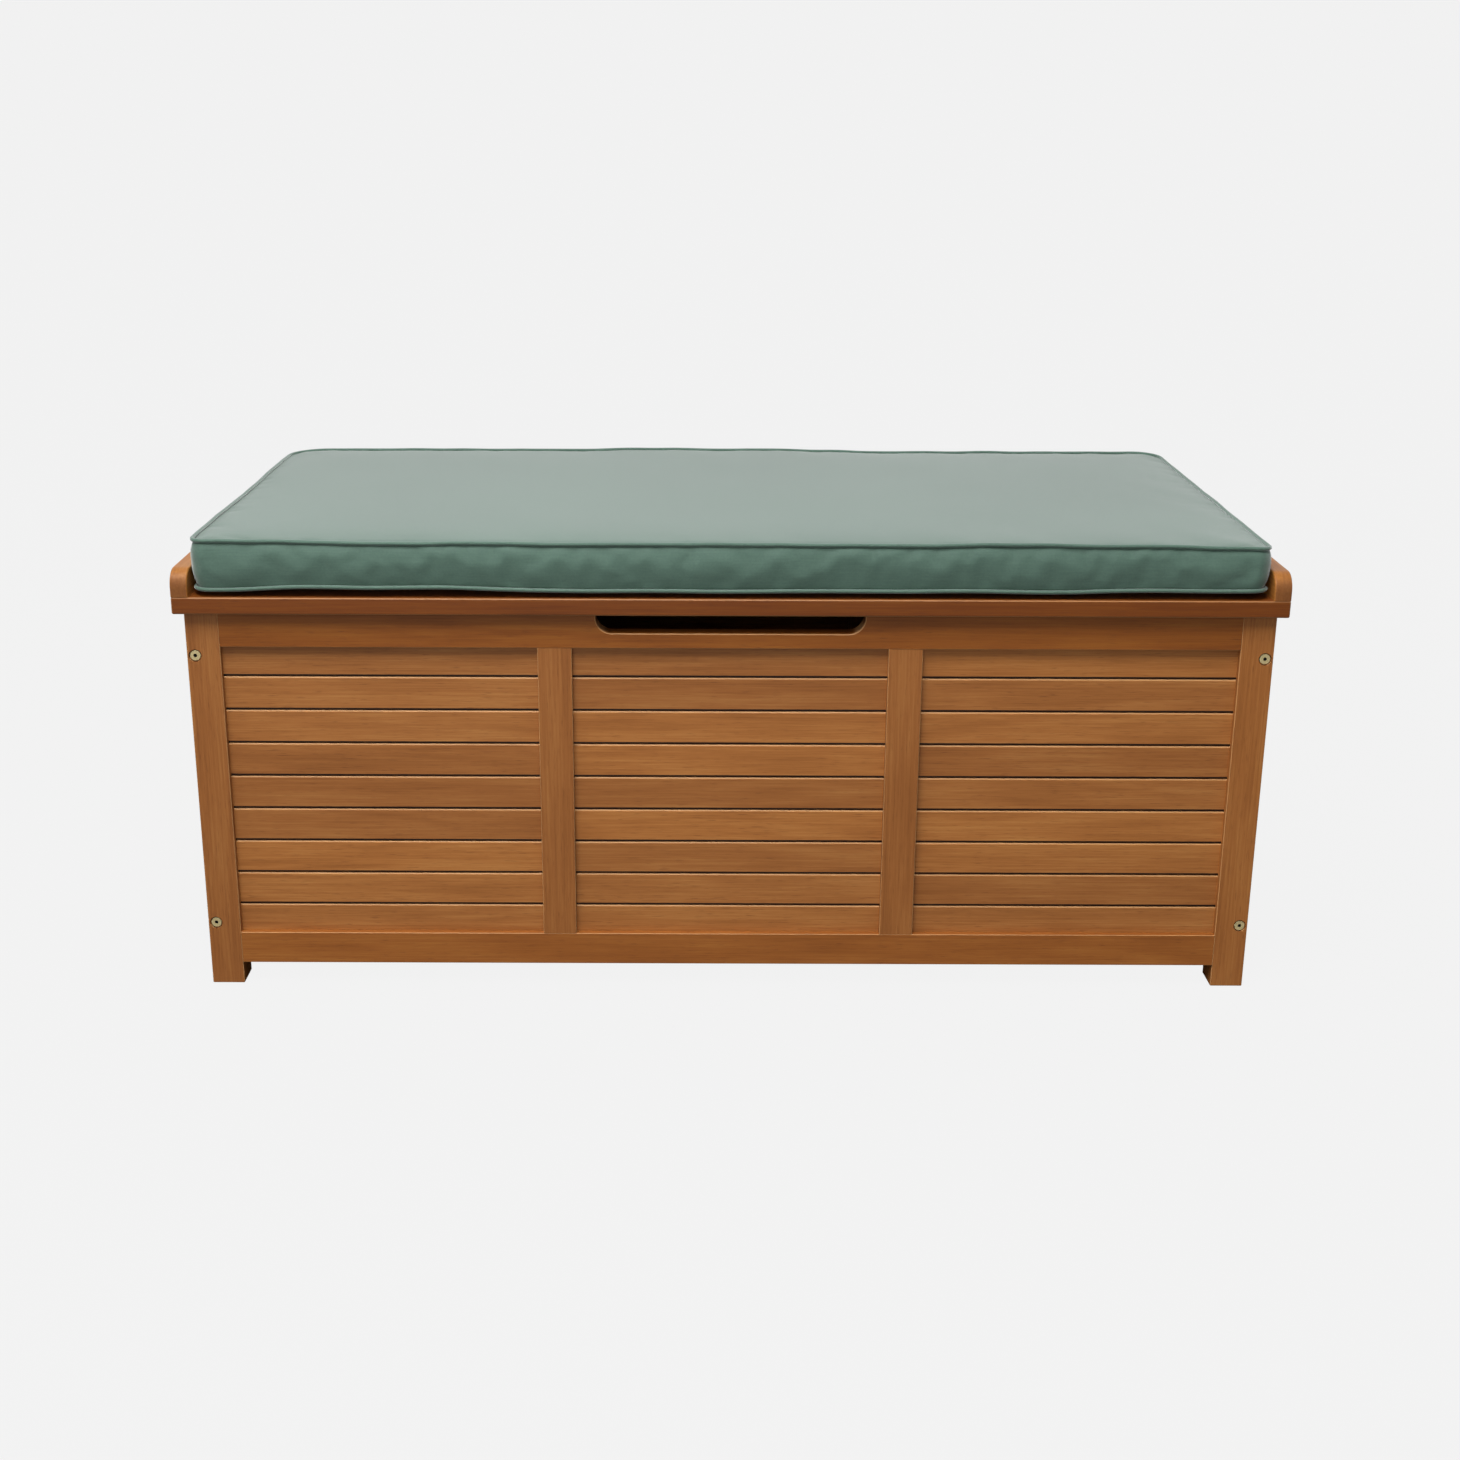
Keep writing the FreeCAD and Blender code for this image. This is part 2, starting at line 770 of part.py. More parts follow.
def struts():
    """Both struts' pieces and brackets."""
    anchor = V(strut_x, anchor_y, anchor_z)
    lid_ball = V(strut_x, lid_ball_y, lid_ball_z)
    lean = math.degrees(math.atan2(anchor_y - lid_ball_y, lid_ball_z - anchor_z))

    def on_anchor(shape):
        return moved(turned(shape, lean, AXIS_X), anchor)

    def on_lid_ball(shape):
        return moved(turned(shape, lean + 180, AXIS_X), lid_ball)

    pieces = {
        "strut_rod_socket": on_anchor(ball_socket(1)),
        "strut_rod": on_anchor(strut_rod()),
        "strut_piston": on_anchor(strut_piston()),
        "strut_tube_socket": on_lid_ball(ball_socket(-1)),
        "strut_tube": on_lid_ball(strut_tube()),
        "strut_gland": on_lid_ball(strut_gland()),
    }
    body_bracket = bracket(anchor, V(-1, 0, 0), AXIS_Z)
    lid_bracket = bracket(lid_ball, AXIS_X, AXIS_Y)
    return pieces, body_bracket, lid_bracket


# ---- lid ----
def lid_boards():
    """The boards that run the length of the lid, front one first."""
    boards = []
    for row in range(lid_board_count):
        y0 = lid_front_y + row * (lid_board_width + lid_board_gap)
        board = block(
            -lid_half_width, lid_half_width, y0, y0 + lid_board_width, lid_bottom, lid_top
        )
        boards.append(ease(board, lid_easing))
    return boards


def lid_battens():
    """The cross battens under the boards."""
    battens = []
    for x in (-end_batten_x, -inner_batten_x, inner_batten_x, end_batten_x):
        batten = block(
            x - batten_width / 2, x + batten_width / 2, batten_front_y, batten_back_y,
            lid_bottom - batten_thickness, lid_bottom,
        )
        battens.append(ease(batten, timber_easing, AXIS_Y))
    return battens


def end_curb():
    """The raised strip on the right-hand end of the lid that keeps the cushion in place."""
    x0 = lid_half_width - curb_width
    curb = block(x0, lid_half_width, lid_front_y, body_back_y, lid_top, lid_top + curb_height)
    noses = [
        e
        for e in curb.Edges
        if abs(e.BoundBox.ZMin - lid_top - curb_height) < 1e-6 and e.BoundBox.YLength < 1e-6
    ]
    curb = curb.makeFillet(curb_nose_radius, noses)
    return curb.makeFillet(lid_easing, [e for e in curb.Edges if e.BoundBox.ZMax > lid_top + 1])


def board_middles():
    """The middle of each lid board, front to back."""
    step = lid_board_width + lid_board_gap
    return [lid_front_y + lid_board_width / 2 + row * step for row in range(lid_board_count)]


def batten_screw_points():
    """Where the battens are screwed to the boards, from below: twice where each pair crosses."""
    points = []
    for x in (-end_batten_x, -inner_batten_x, inner_batten_x, end_batten_x):
        for middle in board_middles():
            front = max(middle - lid_board_width / 2, batten_front_y) + batten_screw_edge
            back = min(middle + lid_board_width / 2, batten_back_y) - batten_screw_edge
            points += [V(x, y, lid_bottom - batten_thickness) for y in (front, back)]
    return points


def curb_screw_points():
    """Where the right-hand curb is screwed down, from under the boards."""
    return [V(lid_half_width - curb_width / 2, y, lid_bottom) for y in board_middles()]


# ---- cushion ----
def pad(inset):
    """The cushion's outline with round corners, drawn in by an inset all round."""
    half = cushion_width / 2 - inset
    low, high = cushion_bottom + inset, cushion_top - inset
    made = block(
        -half, half, cushion_front_y + inset, cushion_front_y + cushion_depth - inset, low, high
    )
    made = ease(made, cushion_corner_radius - inset, AXIS_Z)
    rims = [e for e in made.Edges if e.BoundBox.ZLength < 1e-3]
    return made.makeFillet(cushion_edge_radius - inset, rims)


def piping(z):
    """The corded edge sewn round the cushion at a height."""
    half = cushion_width / 2 + piping_stand
    front = cushion_front_y - piping_stand
    back = cushion_front_y + cushion_depth + piping_stand
    radius = cushion_corner_radius + piping_stand
    made = []
    for x in (-1, 1):
        for y, y_out in ((front + radius, -1), (back - radius, 1)):
            centre = V(x * (half - radius), y, z)
            made.append(piping_corner(centre, x, y_out, radius))
    for y in (front, back):
        made.append(rod_between(V(radius - half, y, z), V(half - radius, y, z), piping_radius))
    for x in (-half, half):
        made.append(rod_between(V(x, front + radius, z), V(x, back - radius, z), piping_radius))
    return fused(made[0], made[1:]).removeSplitter()


def piping_corner(centre, x_out, y_out, radius):
    """A quarter turn of piping round a corner of the cushion."""
    section = Part.Face(Part.Wire(Part.makeCircle(piping_radius, V(radius, 0, 0), AXIS_Y)))
    corner = section.revolve(ORIGIN, AXIS_Z, 90)
    quarter = {(1, 1): 0, (-1, 1): 90, (-1, -1): 180, (1, -1): 270}[(x_out, y_out)]
    return moved(turned(corner, quarter, AXIS_Z), centre)


# ---- assembly ----
def add_body():
    front = long_panel(True)
    back = long_panel(False)
    side = side_panel()
    floor_bearers, floor_boards = floor()
    body_leaves, body_leaf_screws, leaf_tools = hinge_set(-1, range(0, knuckle_count, 2), pin_radius)
    strut_pieces, body_bracket, _ = struts()
    bolts = corner_bolts()
    stile_tools = nut_pockets() + [hole for _, hole, _ in bolts]
    side_tools = [s for tool in stile_tools for s in all_four_corners(tool)]
    plate, screws, holes = body_bracket
    side_tools += holes + [mirrored(h) for h in holes]

    left_post = post(front["holes"])
    nodes["front_left_post"] = [to_front(left_post)]
    nodes["front_right_post"] = [to_front(mirrored(left_post))]
    nodes["rear_right_post"] = [to_back(left_post)]
    nodes["rear_left_post"] = [to_back(mirrored(left_post))]
    for name, panel, place in (("front", front, to_front), ("rear", back, to_back)):
        nodes[name + "_top_rail"] = [place(panel["top"])]
        nodes[name + "_bottom_rail"] = [place(panel["bottom"])]
        nodes[name + "_muntins"] = [place(m) for m in panel["muntins"]]
        for bay in ("left", "middle", "right"):
            nodes[name + "_" + bay + "_slats"] = [place(s) for s in panel[bay]]
    nodes["rear_top_rail"] = [cut_all(nodes["rear_top_rail"][0], leaf_tools)]
    for name, place in (("left", to_left), ("right", to_right)):
        nodes[name + "_side_rails"] = [place(side["top"]), place(side["bottom"])]
        nodes[name + "_side_stiles"] = [cut_all(place(s), side_tools) for s in side["stiles"]]
        nodes[name + "_side_slats"] = [place(s) for s in side["slats"]]
    nodes["frame_dowels"] = (
        [to_front(d) for d in front["dowels"]]
        + [to_back(d) for d in back["dowels"]]
        + [place(d) for place in (to_left, to_right) for d in side["dowels"]]
    )
    nodes["corner_bolts"] = [b for bolt, _, _ in bolts for b in all_four_corners(bolt)]
    nodes["barrel_nuts"] = [n for _, _, nut in bolts for n in all_four_corners(nut)]
    nodes["floor_bearers"] = floor_bearers
    nodes["floor_boards"] = floor_boards
    nodes["hinge_body_leaves"] = body_leaves
    nodes["hinge_body_screws"] = body_leaf_screws
    half = hinge_length / 2
    nodes["hinge_pins"] = [
        rod_between(V(x - half, pin_y, body_height), V(x + half, pin_y, body_height), pin_radius)
        for x in hinge_places()
    ]
    nodes["strut_body_brackets"] = [plate, mirrored(plate)]
    nodes["strut_body_screws"] = screws + [mirrored(s) for s in screws]
    for name, piece in strut_pieces.items():
        nodes["right_" + name] = [piece]
        nodes["left_" + name] = [mirrored(piece)]


def add_lid():
    lid_leaves, lid_leaf_screws, leaf_tools = hinge_set(
        1, range(1, knuckle_count, 2), pin_radius + pin_running_play
    )
    _, _, lid_bracket = struts()
    plate, bracket_screws, bracket_holes = lid_bracket
    bracket_holes = bracket_holes + [mirrored(h) for h in bracket_holes]
    batten_screws, batten_holes = driven(BATTEN_SCREW, batten_screw_points(), AXIS_Z)
    curb_screws, curb_holes = driven(CURB_SCREW, curb_screw_points(), AXIS_Z)
    curb_screws += [mirrored(s) for s in curb_screws]
    curb_holes += [mirrored(h) for h in curb_holes]

    boards = [cut_all(b, batten_holes + curb_holes) for b in lid_boards()]
    nodes["lid_front_board"] = [boards[0]]
    nodes["lid_middle_boards"] = boards[1:-1]
    nodes["lid_rear_board"] = [cut_all(boards[-1], leaf_tools)]
    nodes["lid_battens"] = [cut_all(b, batten_holes + bracket_holes) for b in lid_battens()]
    curb = end_curb()
    nodes["right_end_curb"] = [cut_all(curb, curb_holes)]
    nodes["left_end_curb"] = [cut_all(mirrored(curb), curb_holes)]
    nodes["hinge_lid_leaves"] = lid_leaves
    nodes["hinge_lid_screws"] = lid_leaf_screws
    nodes["lid_batten_screws"] = batten_screws
    nodes["curb_screws"] = curb_screws
    nodes["strut_lid_brackets"] = [plate, mirrored(plate)]
    nodes["strut_lid_screws"] = bracket_screws + [mirrored(s) for s in bracket_screws]


def add_cushion():
    nodes["cushion_cover"] = [pad(0).cut(pad(cover_thickness))]
    nodes["cushion_foam"] = [pad(cover_thickness + foam_play)]
    nodes["cushion_bottom_piping"] = [piping(cushion_bottom - piping_stand)]
    nodes["cushion_top_piping"] = [piping(cushion_top + piping_stand)]


def main():
    add_body()
    add_lid()
    add_cushion()
    os.makedirs("parts", exist_ok=True)
    for name, solids in sorted(nodes.items()):
        pieces = [s for shape in solids for s in shape.Solids]
        for piece in pieces:
            if not piece.isValid() or piece.Volume <= 0:
                raise ValueError(name + " holds a bad solid")
        if len(pieces) != len(solids):
            raise ValueError(name + " came apart: %d pieces for %d" % (len(pieces), len(solids)))
        whole = pieces[0] if len(pieces) == 1 else Part.makeCompound(pieces)
        whole.exportStep("parts/" + name + ".step")
    print(len(nodes), "nodes,", sum(len(s) for s in nodes.values()), "solids")
    print("strut closed %.1f, open %.1f" % (closed_reach, open_reach))
    print("hinge pin y %.3f z %.3f" % (pin_y, body_height))
    print("strut anchor y %.3f z %.3f" % (anchor_y, anchor_z))
    print("strut lid ball y %.3f z %.3f" % (lid_ball_y, lid_ball_z))


main()
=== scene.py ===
# %% [markdown]
# # A deck storage box with a piped seat cushion
# The engineered model gives every board, bolt and hinge in its true place. This script leaves
# those where they are, gives them the finish of oiled timber and plated steel, and makes the
# one soft thing, the cushion, as cloth. Each step below says what the real piece is and why it
# is made this way in Blender.

import json
import math

import bpy
from mathutils import Matrix, Vector, noise


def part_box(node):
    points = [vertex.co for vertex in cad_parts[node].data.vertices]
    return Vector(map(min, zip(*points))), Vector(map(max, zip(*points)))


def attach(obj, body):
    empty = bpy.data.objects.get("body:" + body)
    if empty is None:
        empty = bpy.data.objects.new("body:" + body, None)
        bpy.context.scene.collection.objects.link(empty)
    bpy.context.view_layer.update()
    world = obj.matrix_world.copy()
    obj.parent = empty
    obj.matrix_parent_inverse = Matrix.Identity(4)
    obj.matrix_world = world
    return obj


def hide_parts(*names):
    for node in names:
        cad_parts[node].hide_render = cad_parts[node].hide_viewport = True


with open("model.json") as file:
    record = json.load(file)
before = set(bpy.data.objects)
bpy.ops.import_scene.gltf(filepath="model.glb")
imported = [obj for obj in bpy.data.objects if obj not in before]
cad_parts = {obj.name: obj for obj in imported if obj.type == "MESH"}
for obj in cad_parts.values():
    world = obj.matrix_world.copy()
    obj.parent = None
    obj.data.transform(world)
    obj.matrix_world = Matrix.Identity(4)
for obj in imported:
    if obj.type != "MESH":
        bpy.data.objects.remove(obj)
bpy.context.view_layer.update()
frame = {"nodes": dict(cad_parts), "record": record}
nodes = frame["nodes"]
MM = 0.001

# %% [markdown]
# ## The camera
# A camera that looks straight at the front and a little down keeps the uprights nearly
# upright and shows the seat's top. It stands slightly left of the middle, so a small sideways
# shift of the lens brings the box back to the middle without turning the camera.

# %% Camera
LENS = 48.2
LOOK_DOWN = math.radians(18.0)
ROLL = math.radians(0.2)
CAMERA_HEIGHT = 0.987
CAMERA_AWAY = 2.078
CAMERA_LEFT = 0.033
CAMERA_SHIFT = 0.0205

front_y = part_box("front_left_post")[0].y
camera = bpy.data.objects.new("camera", bpy.data.cameras.new("camera"))
camera.data.lens = LENS
camera.data.shift_x = CAMERA_SHIFT
stand = Matrix.Translation((-CAMERA_LEFT, front_y - CAMERA_AWAY, CAMERA_HEIGHT))
turn = Matrix.Rotation(math.radians(90) - LOOK_DOWN, 4, "X")
camera.matrix_world = stand @ turn @ Matrix.Rotation(ROLL, 4, "Z")
bpy.context.scene.collection.objects.link(camera)
bpy.context.scene.camera = camera
bpy.context.scene.view_settings.view_transform = "Standard"
print("camera %.2f m in front of the posts" % CAMERA_AWAY)

# %% [markdown]
# ## Colours and nodes
# Paint charts and colour pickers give sRGB values, but light adds up in linear ones, so one
# function turns a hex colour into the linear colour that a shader needs. Materials could be
# drawn by hand in the node editor, but a written one can be read, repeated and changed in one
# place, so another function adds a node with its settings and its links, and everything below
# is wired with it. The kinds of node that come up often have a short name.

# %% Colour and node helpers
MATH = "ShaderNodeMath"
VECTOR = "ShaderNodeVectorMath"
APART = "ShaderNodeSeparateXYZ"
NOISE = "ShaderNodeTexNoise"
RANGE = "ShaderNodeMapRange"
RAMP = "ShaderNodeValToRGB"
MIX = "ShaderNodeMix"
PLACE = "ShaderNodeTexCoord"


def linear(hex_colour):
    """A linear RGBA colour from an sRGB hex value."""
    channels = [int(hex_colour[k : k + 2], 16) / 255 for k in (0, 2, 4)]
    curve = [c / 12.92 if c <= 0.04045 else ((c + 0.055) / 1.055) ** 2.4 for c in channels]
    return (*curve, 1.0)


def link(tree, node, inputs):
    """Links the sockets among a node's inputs, and sets the plain values, by name or number."""
    for key, value in inputs.items():
        if isinstance(value, bpy.types.NodeSocket):
            tree.links.new(value, node.inputs[key])
        else:
            node.inputs[key].default_value = value


def add(tree, kind, inputs=None, out=None, stops=(), **settings):
    """Adds a node with its settings, its inputs and a ramp's colour stops. It gives back the
    node, or one of its outputs where that is asked for."""
    node = tree.nodes.new(kind)
    for name, value in settings.items():
        setattr(node, name, value)
    link(tree, node, inputs or {})
    for _ in stops[2:]:
        node.color_ramp.elements.new(0.5)
    for k, (at, colour) in enumerate(stops):
        node.color_ramp.elements[k].position = at
        node.color_ramp.elements[k].color = linear(colour)
    return node if out is None else node.outputs[out]


def new_material(name):
    """An empty material with a Principled shader wired to its output."""
    material = bpy.data.materials.new(name)
    material.use_nodes = True
    tree = material.node_tree
    tree.nodes.clear()
    shader = add(tree, "ShaderNodeBsdfPrincipled")
    add(tree, "ShaderNodeOutputMaterial", {"Surface": shader.outputs["BSDF"]})
    return material, tree, shader


# %% [markdown]
# ## The studio
# A product is shown on a pale sweep: a floor that curves up into a wall, so no horizon shows.
# Strong lamps could whiten it, but they would bleach the timber too. So most of the sweep's
# brightness is its own glow, and the box's shadow on it stays faint. The wall's glow gives the
# cushion its haze. The floor's glow would flatten the front from below, so the floor is left
# out of diffuse and glossy light.

# %% Pale sweep
SWEEP_HALF_WIDTH = 14.0
SWEEP_FRONT = -12.0
SWEEP_BACK = 7.0
SWEEP_RADIUS = 4.0
SWEEP_HEIGHT = 16.0
SWEEP_STEPS = 24
SWEEP_GLOW = 0.875
SWEEP_GREY = "1C1C1C"


def bend_and_wall():
    """The outline of a quarter-round bend and the wall above it, as (y, z) points."""
    outline = []
    for step in range(SWEEP_STEPS + 1):
        angle = math.pi / 2 * step / SWEEP_STEPS
        y = SWEEP_BACK - SWEEP_RADIUS + SWEEP_RADIUS * math.sin(angle)
        outline.append((y, SWEEP_RADIUS - SWEEP_RADIUS * math.cos(angle)))
    return outline + [(SWEEP_BACK, SWEEP_HEIGHT)]


def stage_mesh(name, verts, faces, paint):
    """A painted mesh that is marked as part of the stage."""
    mesh = bpy.data.meshes.new(name)
    mesh.from_pydata(verts, [], faces)
    mesh.shade_smooth()
    mesh.materials.append(paint)
    piece = bpy.data.objects.new(name, mesh)
    bpy.context.scene.collection.objects.link(piece)
    return piece


def stage_strip(name, outline, paint):
    """A wide strip that follows an outline of (y, z) points."""
    verts = [(x, y, z) for y, z in outline for x in (-SWEEP_HALF_WIDTH, SWEEP_HALF_WIDTH)]
    faces = [(2 * k, 2 * k + 1, 2 * k + 3, 2 * k + 2) for k in range(len(outline) - 1)]
    return stage_mesh(name, verts, faces, paint)


sweep_paint, tree, shader = new_material("sweep paint")
link(tree, shader, {"Base Color": linear(SWEEP_GREY), "Roughness": 0.95, "Specular IOR Level": 0.0})
link(tree, shader, {"Emission Color": linear("FFFFFF"), "Emission Strength": SWEEP_GLOW})
floor_line = [(SWEEP_FRONT, 0.0), (SWEEP_BACK - SWEEP_RADIUS, 0.0)]
stage_strip("studio_wall", bend_and_wall(), sweep_paint)
studio_floor = stage_strip("studio_floor", floor_line, sweep_paint)
studio_floor.visible_diffuse = studio_floor.visible_glossy = False
print("sweep", 2 * SWEEP_HALF_WIDTH, "m wide")

# %% [markdown]
# The box is looked at from every side, so a round wall of the same paint stands further out. It
# only fills the view behind the box, and casts no light on it.

# %% Round wall
DRUM_OUT = 3.0
DRUM_SIDES = 64


def studio_drum(paint):
    """The bend and wall turned round a full circle, a little outside the sweep."""
    outline = bend_and_wall()
    verts, faces = [], []
    for side in range(DRUM_SIDES):
        angle = math.tau * side / DRUM_SIDES
        across, deep = math.cos(angle), math.sin(angle)
        verts += [((y + DRUM_OUT) * across, (y + DRUM_OUT) * deep, z) for y, z in outline]
    count = len(outline)
    for side in range(DRUM_SIDES):
        a, b = side * count, (side + 1) % DRUM_SIDES * count
        faces += [(a + k, b + k, b + k + 1, a + k + 1) for k in range(count - 1)]
    drum = stage_mesh("studio_drum", verts, faces, paint)
    drum.visible_diffuse = drum.visible_glossy = drum.visible_shadow = False


drum_paint = sweep_paint.copy()
drum_paint.name = "round wall paint"
drum_paint.cycles.emission_sampling = "NONE"
studio_drum(drum_paint)
print("round wall of", DRUM_SIDES, "sides")

# %% [markdown]
# The floor is left out of the bounced light, so a black card just under it stops the light that
# would otherwise come up through it, and the feet and the underside lie in their own shade.

# %% Shade under the box
CARD_DEPTH = 1.0 * MM
black, tree, shader = new_material("black card")
link(tree, shader, {"Base Color": linear("000000"), "Specular IOR Level": 0.0})
low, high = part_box("front_left_post")[0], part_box("rear_right_post")[1]
corners = [(low.x, low.y), (high.x, low.y), (high.x, high.y), (low.x, high.y)]
stage_mesh("shade_card", [(x, y, -CARD_DEPTH) for x, y in corners], [(0, 1, 2, 3)], black)
print("shade card %.2f m by %.2f m" % (high.x - low.x, high.y - low.y))

# %% [markdown]
# ## Lights
# A wide soft light hangs above and in front, where it picks out every eased edge. Weaker ones
# fill the shadows from the front and the two sides. Each is a square diffuser, given by its
# place, the point it faces, its side in metres and its power in watts.

# %% Lights
LIGHTS = {
    "overhead_light": ((-0.5, -1.6, 3.2), (0, 0, 0.4), 1.8, 125.0),
    "front_light": ((-0.6, -4.6, 1.2), (0, 0, 0.1), 2.4, 34.0),
    "left_light": ((-4.0, -1.6, 2.0), (0, 0, 0.3), 2.0, 30.0),
    "right_light": ((3.6, 0.5, 0.35), (0.6, 0, 0.3), 1.6, 16.0),
}
AIR_COLOUR = "F4F6F8"
AIR_GLOW = 0.22

for name, (spot, target, side, power) in LIGHTS.items():
    lamp = bpy.data.lights.new(name, "AREA")
    lamp.size = side
    lamp.energy = power
    light = bpy.data.objects.new(name, lamp)
    facing = (Vector(target) - Vector(spot)).to_track_quat("-Z", "Y").to_matrix().to_4x4()
    light.matrix_world = Matrix.Translation(spot) @ facing
    bpy.context.scene.collection.objects.link(light)
world = bpy.data.worlds.new("studio air")
world.use_nodes = True
air = world.node_tree.nodes["Background"]
link(world.node_tree, air, {"Color": linear(AIR_COLOUR), "Strength": AIR_GLOW})
bpy.context.scene.world = world
print("lights:", ", ".join(LIGHTS))

# %% [markdown]
# ## Oiled hardwood
# The boards are a mid-brown plantation hardwood, planed, eased along the edges and wiped with
# tinted oil. Its figure is fine and straight: long fibres, short dark pores, faint growth
# rings, and a tone that differs from board to board. A picture of wood would need every board
# unwrapped, and would break at its edges. A solid texture is worked out in space instead,
# stretched along the grain, so it wraps round each board's edges and shows as dots on its sawn
# ends, as real grain does. Every mark has a real length along the grain and a real width across
# it. Pores are about 0.2 mm wide in the wood, which is too fine to show, so they are drawn at
# 0.7 mm, and the fibres as bundles.

# %% Marks in the wood
GRAIN_AXES = {"X": ("X", "Y", "Z"), "Y": ("Y", "X", "Z"), "Z": ("Z", "X", "Y")}
GRAIN = {  # Each mark's length and width, and the detail in its noise.
    "bend": (1100 * MM, 140 * MM, 2.0),
    "fibres": (110 * MM, 2.2 * MM, 3.0),
    "fine": (30 * MM, 0.8 * MM, 2.0),
    "patches": (165 * MM, 25 * MM, 2.0),
    "pores": (17 * MM, 0.7 * MM, 1.0),
}
NOISE_ROUGHNESS = 0.55


def long_marks(tree, place, length, width, detail):
    """Noise that is long along the grain, from the length and width of one mark."""
    scale = (1 / length, 1 / width, 1 / width)
    stretched = add(tree, VECTOR, {0: place, 1: scale}, 0, operation="MULTIPLY")
    inputs = {"Vector": stretched, "Scale": 1.0, "Detail": detail, "Roughness": NOISE_ROUGHNESS}
    return add(tree, NOISE, inputs, "Fac")


# %% [markdown]
# Boards that share one object are told apart by dividing space into cells one board in size.
# Each cell gets its own random colour, which says where in the log its board was cut, and its
# own random number, which sets its tone.

# %% Boards in one object
CELL_MIDDLE = (0.5, 0.5, 0.5)


def board_cell(tree, where, origin, cell):
    """The random outputs of a point's board-sized cell, and the point's place in the cell."""
    shifted = add(tree, VECTOR, {0: where, 1: origin}, 0, operation="SUBTRACT")
    counted = add(tree, VECTOR, {0: shifted, 1: cell}, 0, operation="DIVIDE")
    floor = add(tree, VECTOR, {0: counted}, 0, operation="FLOOR")
    centred = add(tree, VECTOR, {0: floor, 1: CELL_MIDDLE}, 0, operation="ADD")
    inside = add(tree, VECTOR, {0: counted}, 0, operation="FRACTION")
    return add(tree, "ShaderNodeTexWhiteNoise", {"Vector": centred}).outputs, inside


# %% [markdown]
# Growth rings are the distance from the log's heart in even steps, bent by slow noise. A plain
# sawn board shows them as faint bands, so they get the smallest share of the figure.

# %% Growth rings and figure
RING_STEP = 5 * MM
RING_BEND = 60 * MM
RING_FLATTEN = (0.0, 1.0, 0.35)
ACROSS_GRAIN = (0.0, 1.0, 1.0)
FIGURE_SHARES = {"fibres": 0.42, "fine": 0.22, "patches": 0.36, "rings": 0.04}
FIGURE_STOPS = ((0.30, "905929"), (0.52, "AC703A"), (0.76, "C28A4E"))


def growth_rings(tree, turned, board, bend):
    """Bands from 0 to 1 round a heart that each board has in its own place."""
    inputs = {0: turned, 1: ACROSS_GRAIN, 2: board["Color"]}
    heart = add(tree, VECTOR, inputs, 0, operation="MULTIPLY_ADD")
    flat = add(tree, VECTOR, {0: heart, 1: RING_FLATTEN}, 0, operation="MULTIPLY")
    reach = add(tree, VECTOR, {0: flat}, "Value", operation="LENGTH")
    bent = add(tree, MATH, {0: bend, 1: RING_BEND, 2: reach}, 0, operation="MULTIPLY_ADD")
    turns = add(tree, MATH, {0: bent, 1: math.tau / RING_STEP}, 0, operation="MULTIPLY")
    wave = add(tree, MATH, {0: turns}, 0, operation="SINE")
    return add(tree, RANGE, {0: wave, 1: -1.0, 2: 1.0}, 0)


def wood_figure(tree, marks):
    """The colour of bare wood, from the shares of its marks."""
    figure = 0.0
    for mark, share in FIGURE_SHARES.items():
        inputs = {0: marks[mark], 1: share, 2: figure}
        figure = add(tree, MATH, inputs, 0, operation="MULTIPLY_ADD")
    return add(tree, RAMP, {0: figure}, 0, FIGURE_STOPS)


# %% [markdown]
# Use, weather and painted light show at three places. Sawn ends drink more oil, so they are
# darker and duller. Eased edges, where the surface faces no axis squarely, are paler: partly wood
# sanded through, partly a painted highlight.
# The joints between slats, and a little of the slat above each, get painted shade, so they read
# as dark lines.

# %% Ends, edges and joints
END_FACING = (0.75, 0.95)  # How squarely a surface faces the grain, where none and all is end.
EASED_FACING = (0.97, 0.85)  # How squarely it faces its nearest axis, on the flat and the edge.
JOINT_SHADE_BELOW = 0.6  # The part of the joint's width that is darkened on the slat above it.
JOINT_SHADE_SHARE = 0.95


def facing_axes(tree, normal):
    """How squarely the surface faces each axis, either way."""
    size = add(tree, VECTOR, {0: normal}, 0, operation="ABSOLUTE")
    return add(tree, APART, {0: size}).outputs


def eased_edges(tree, facing, highlight_and_wear):
    """A mask of the eased edges, strongest where no axis is faced: wear and painted highlight."""
    level = add(tree, MATH, {0: facing["X"], 1: facing["Y"]}, 0, operation="MAXIMUM")
    squarest = add(tree, MATH, {0: level, 1: facing["Z"]}, 0, operation="MAXIMUM")
    eased = add(tree, RANGE, {0: squarest, 1: EASED_FACING[0], 2: EASED_FACING[1]}, 0)
    return add(tree, MATH, {0: eased, 1: highlight_and_wear}, 0, operation="MULTIPLY")


def slat_joint_shade(tree, inside, joint):
    """Painted shade in the joint at the top of each cell, and on a little of the slat above it."""
    height = add(tree, APART, {0: inside}, "Z")
    above = add(tree, MATH, {0: height, 1: 1.0 - joint}, 0, operation="GREATER_THAN")
    below = add(tree, MATH, {0: height, 1: JOINT_SHADE_BELOW * joint}, 0, operation="LESS_THAN")
    either = add(tree, MATH, {0: above, 1: below}, 0, operation="MAXIMUM")
    return add(tree, MATH, {0: either, 1: JOINT_SHADE_SHARE}, 0, operation="MULTIPLY")
